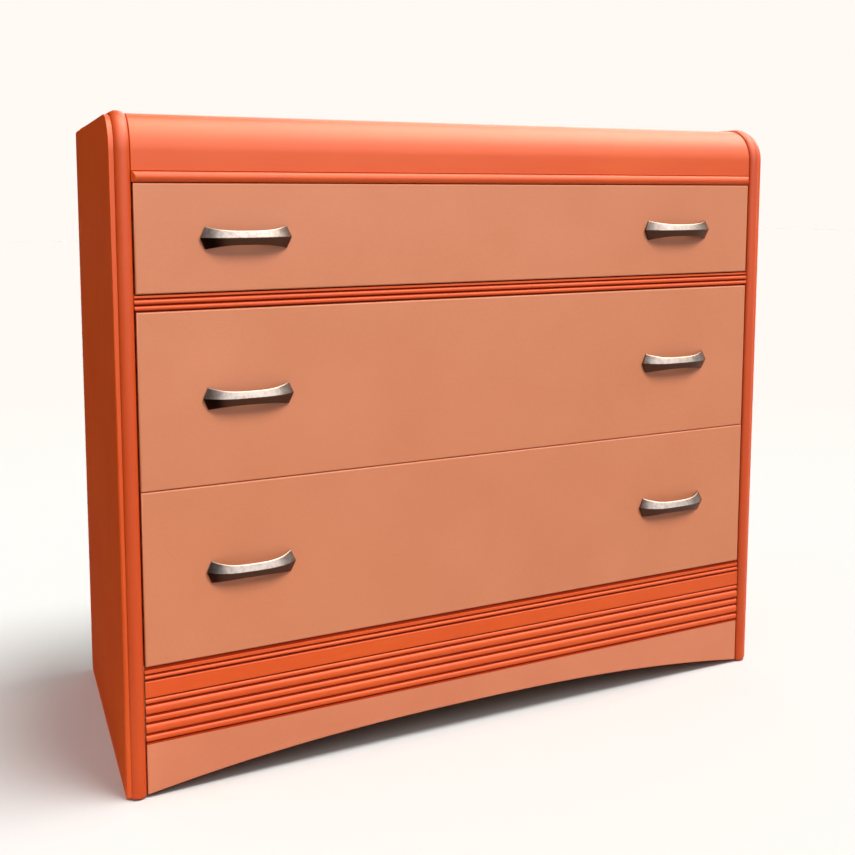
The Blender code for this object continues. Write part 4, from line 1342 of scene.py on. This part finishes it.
shown = add_node(
    air, "ShaderNodeMath", {0: seen.outputs[0], 1: rays["Is Transmission Ray"]}, operation="MAXIMUM"
)
dim = add_node(air, "ShaderNodeBackground", {"Color": (1.0, 1.0, 1.0, 1.0), "Strength": ALL_ROUND})
bright = add_node(air, "ShaderNodeBackground", {"Color": linear(CREAM), "Strength": strength.outputs[0]})
studio = add_node(air, "ShaderNodeMixShader", {0: shown.outputs[0], 1: dim.outputs[0], 2: bright.outputs[0]})
add_node(air, "ShaderNodeOutputWorld", {"Surface": studio.outputs[0]})
bpy.context.scene.view_settings.view_transform = "Standard"
print("all-round light", ALL_ROUND)

# %% Lamps
# The direction to each lamp, with its strength as its length, and how wide it looks in degrees.
LAMPS = {
    "front_lamp": (Vector((0.17, -0.66, 0.74)), 28),
    "right_lamp": (Vector((0.34, 0.04, 0.26)), 50),
    "left_lamp": (Vector((-0.35, 0.16, 0.04)), 30),
}
FLOOR_LAMPS = {
    "floor_key": (Vector((0.19, -0.12, 0.75)), 22),
    "floor_sky": (Vector((0.0, 0.0, 0.31)), 120),
}
# The direction to each soft box, how wide it looks in degrees, how bright a mirror would show it, its tint.
SOFTBOXES = {
    "ceiling_softbox": (Vector((0.38, -0.03, 0.88)), 58, 8.0, "FFF6E3"),
    "front_softbox": (Vector((0.15, -0.77, 0.55)), 72, 3.5, "FFFFFF"),
    "rear_softbox": (Vector((0.45, 0.80, 0.42)), 40, 3.0, "FFF6E3"),
}


def add_sun(name, to_lamp, spread, energy):
    """A far lamp as wide as a soft box, shining from the given direction."""
    lamp_data = bpy.data.lights.new(name, "SUN")
    lamp_data.energy = energy
    lamp_data.angle = math.radians(spread)
    lamp = bpy.data.objects.new(name, lamp_data)
    lamp.rotation_euler = to_lamp.to_track_quat("Z", "Y").to_euler()
    bpy.context.scene.collection.objects.link(lamp)
    print(name, "strength", round(energy, 2))
    return lamp


floor_alone = bpy.data.collections.new("floor_alone")
floor_alone.objects.link(floor)
all_but_floor = bpy.data.collections.new("all_but_floor")
all_but_floor.objects.link(floor)
all_but_floor.collection_objects[0].light_linking.link_state = "EXCLUDE"
for lamps, receivers in ((LAMPS, all_but_floor), (FLOOR_LAMPS, floor_alone)):
    for name, (to_lamp, spread) in lamps.items():
        lamp = add_sun(name, to_lamp, spread, math.pi * to_lamp.length)
        lamp.visible_glossy = False
        lamp.light_linking.receiver_collection = receivers
for name, (to_lamp, spread, glow, tint) in SOFTBOXES.items():
    share = math.sin(math.radians(spread / 2)) ** 2
    softbox = add_sun(name, to_lamp, spread, math.pi * share * glow)
    softbox.data.color = linear(tint)[:3]
    softbox.visible_diffuse = False

# %% Black cloth
CLOTH_SIZE = 14.0
CLOTH_FRONT = -3.0
CLOTH_CLEAR = 0.002
CLOTH_BLACK = "050505"
cloth_right = cad_box[0].x - CLOTH_CLEAR
cloth_left = cloth_right - CLOTH_SIZE
corners = [(cloth_left, CLOTH_FRONT), (cloth_right, CLOTH_FRONT)]
corners += [(cloth_right, CLOTH_SIZE), (cloth_left, CLOTH_SIZE)]
cloth_mesh = bpy.data.meshes.new("black_cloth")
cloth_mesh.from_pydata([(*corner, CLOTH_CLEAR) for corner in corners], [], [(0, 1, 2, 3)])
# Black cotton cloth: it gives no light back, so reflections of it are dark.
cloth_black = bpy.data.materials.new("black_cloth")
cloth_black.use_nodes = True
cloth_shader = cloth_black.node_tree.nodes["Principled BSDF"]
cloth_shader.inputs["Base Color"].default_value = linear(CLOTH_BLACK)
cloth_shader.inputs["Specular IOR Level"].default_value = 0.0
cloth = link_object("black_cloth", cloth_mesh, cloth_black)
cloth.visible_camera = False
cloth.visible_diffuse = False
cloth.visible_shadow = False
cloth.visible_transmission = False
print("cloth", CLOTH_SIZE, "m wide")

# %% [markdown]
# ## Camera
# The chest is seen from its left, a little above the top, with its posts nearly upright. Tilting a camera
# down makes upright lines lean together, so this one is tilted only a little, and its lens is shifted down
# for the rest. Its place, turn and lens were worked out from the corners of the drawers.

# %% Camera
CAMERA_PLACE = (-0.5989, -1.3513, 0.7052)
CAMERA_YAW = 23.980
CAMERA_PITCH = 5.376
CAMERA_LENS = 43.20
CAMERA_SHIFT = -0.16
SENSOR_MM = 36.0
camera_data = bpy.data.cameras.new("camera")
camera_data.lens = CAMERA_LENS
camera_data.sensor_width = SENSOR_MM
camera_data.shift_y = CAMERA_SHIFT
camera = bpy.data.objects.new("camera", camera_data)
camera.location = CAMERA_PLACE
camera.rotation_euler = (math.radians(90 - CAMERA_PITCH), 0.0, math.radians(-CAMERA_YAW))
bpy.context.scene.collection.objects.link(camera)
bpy.context.scene.camera = camera
print("camera at", CAMERA_PLACE)
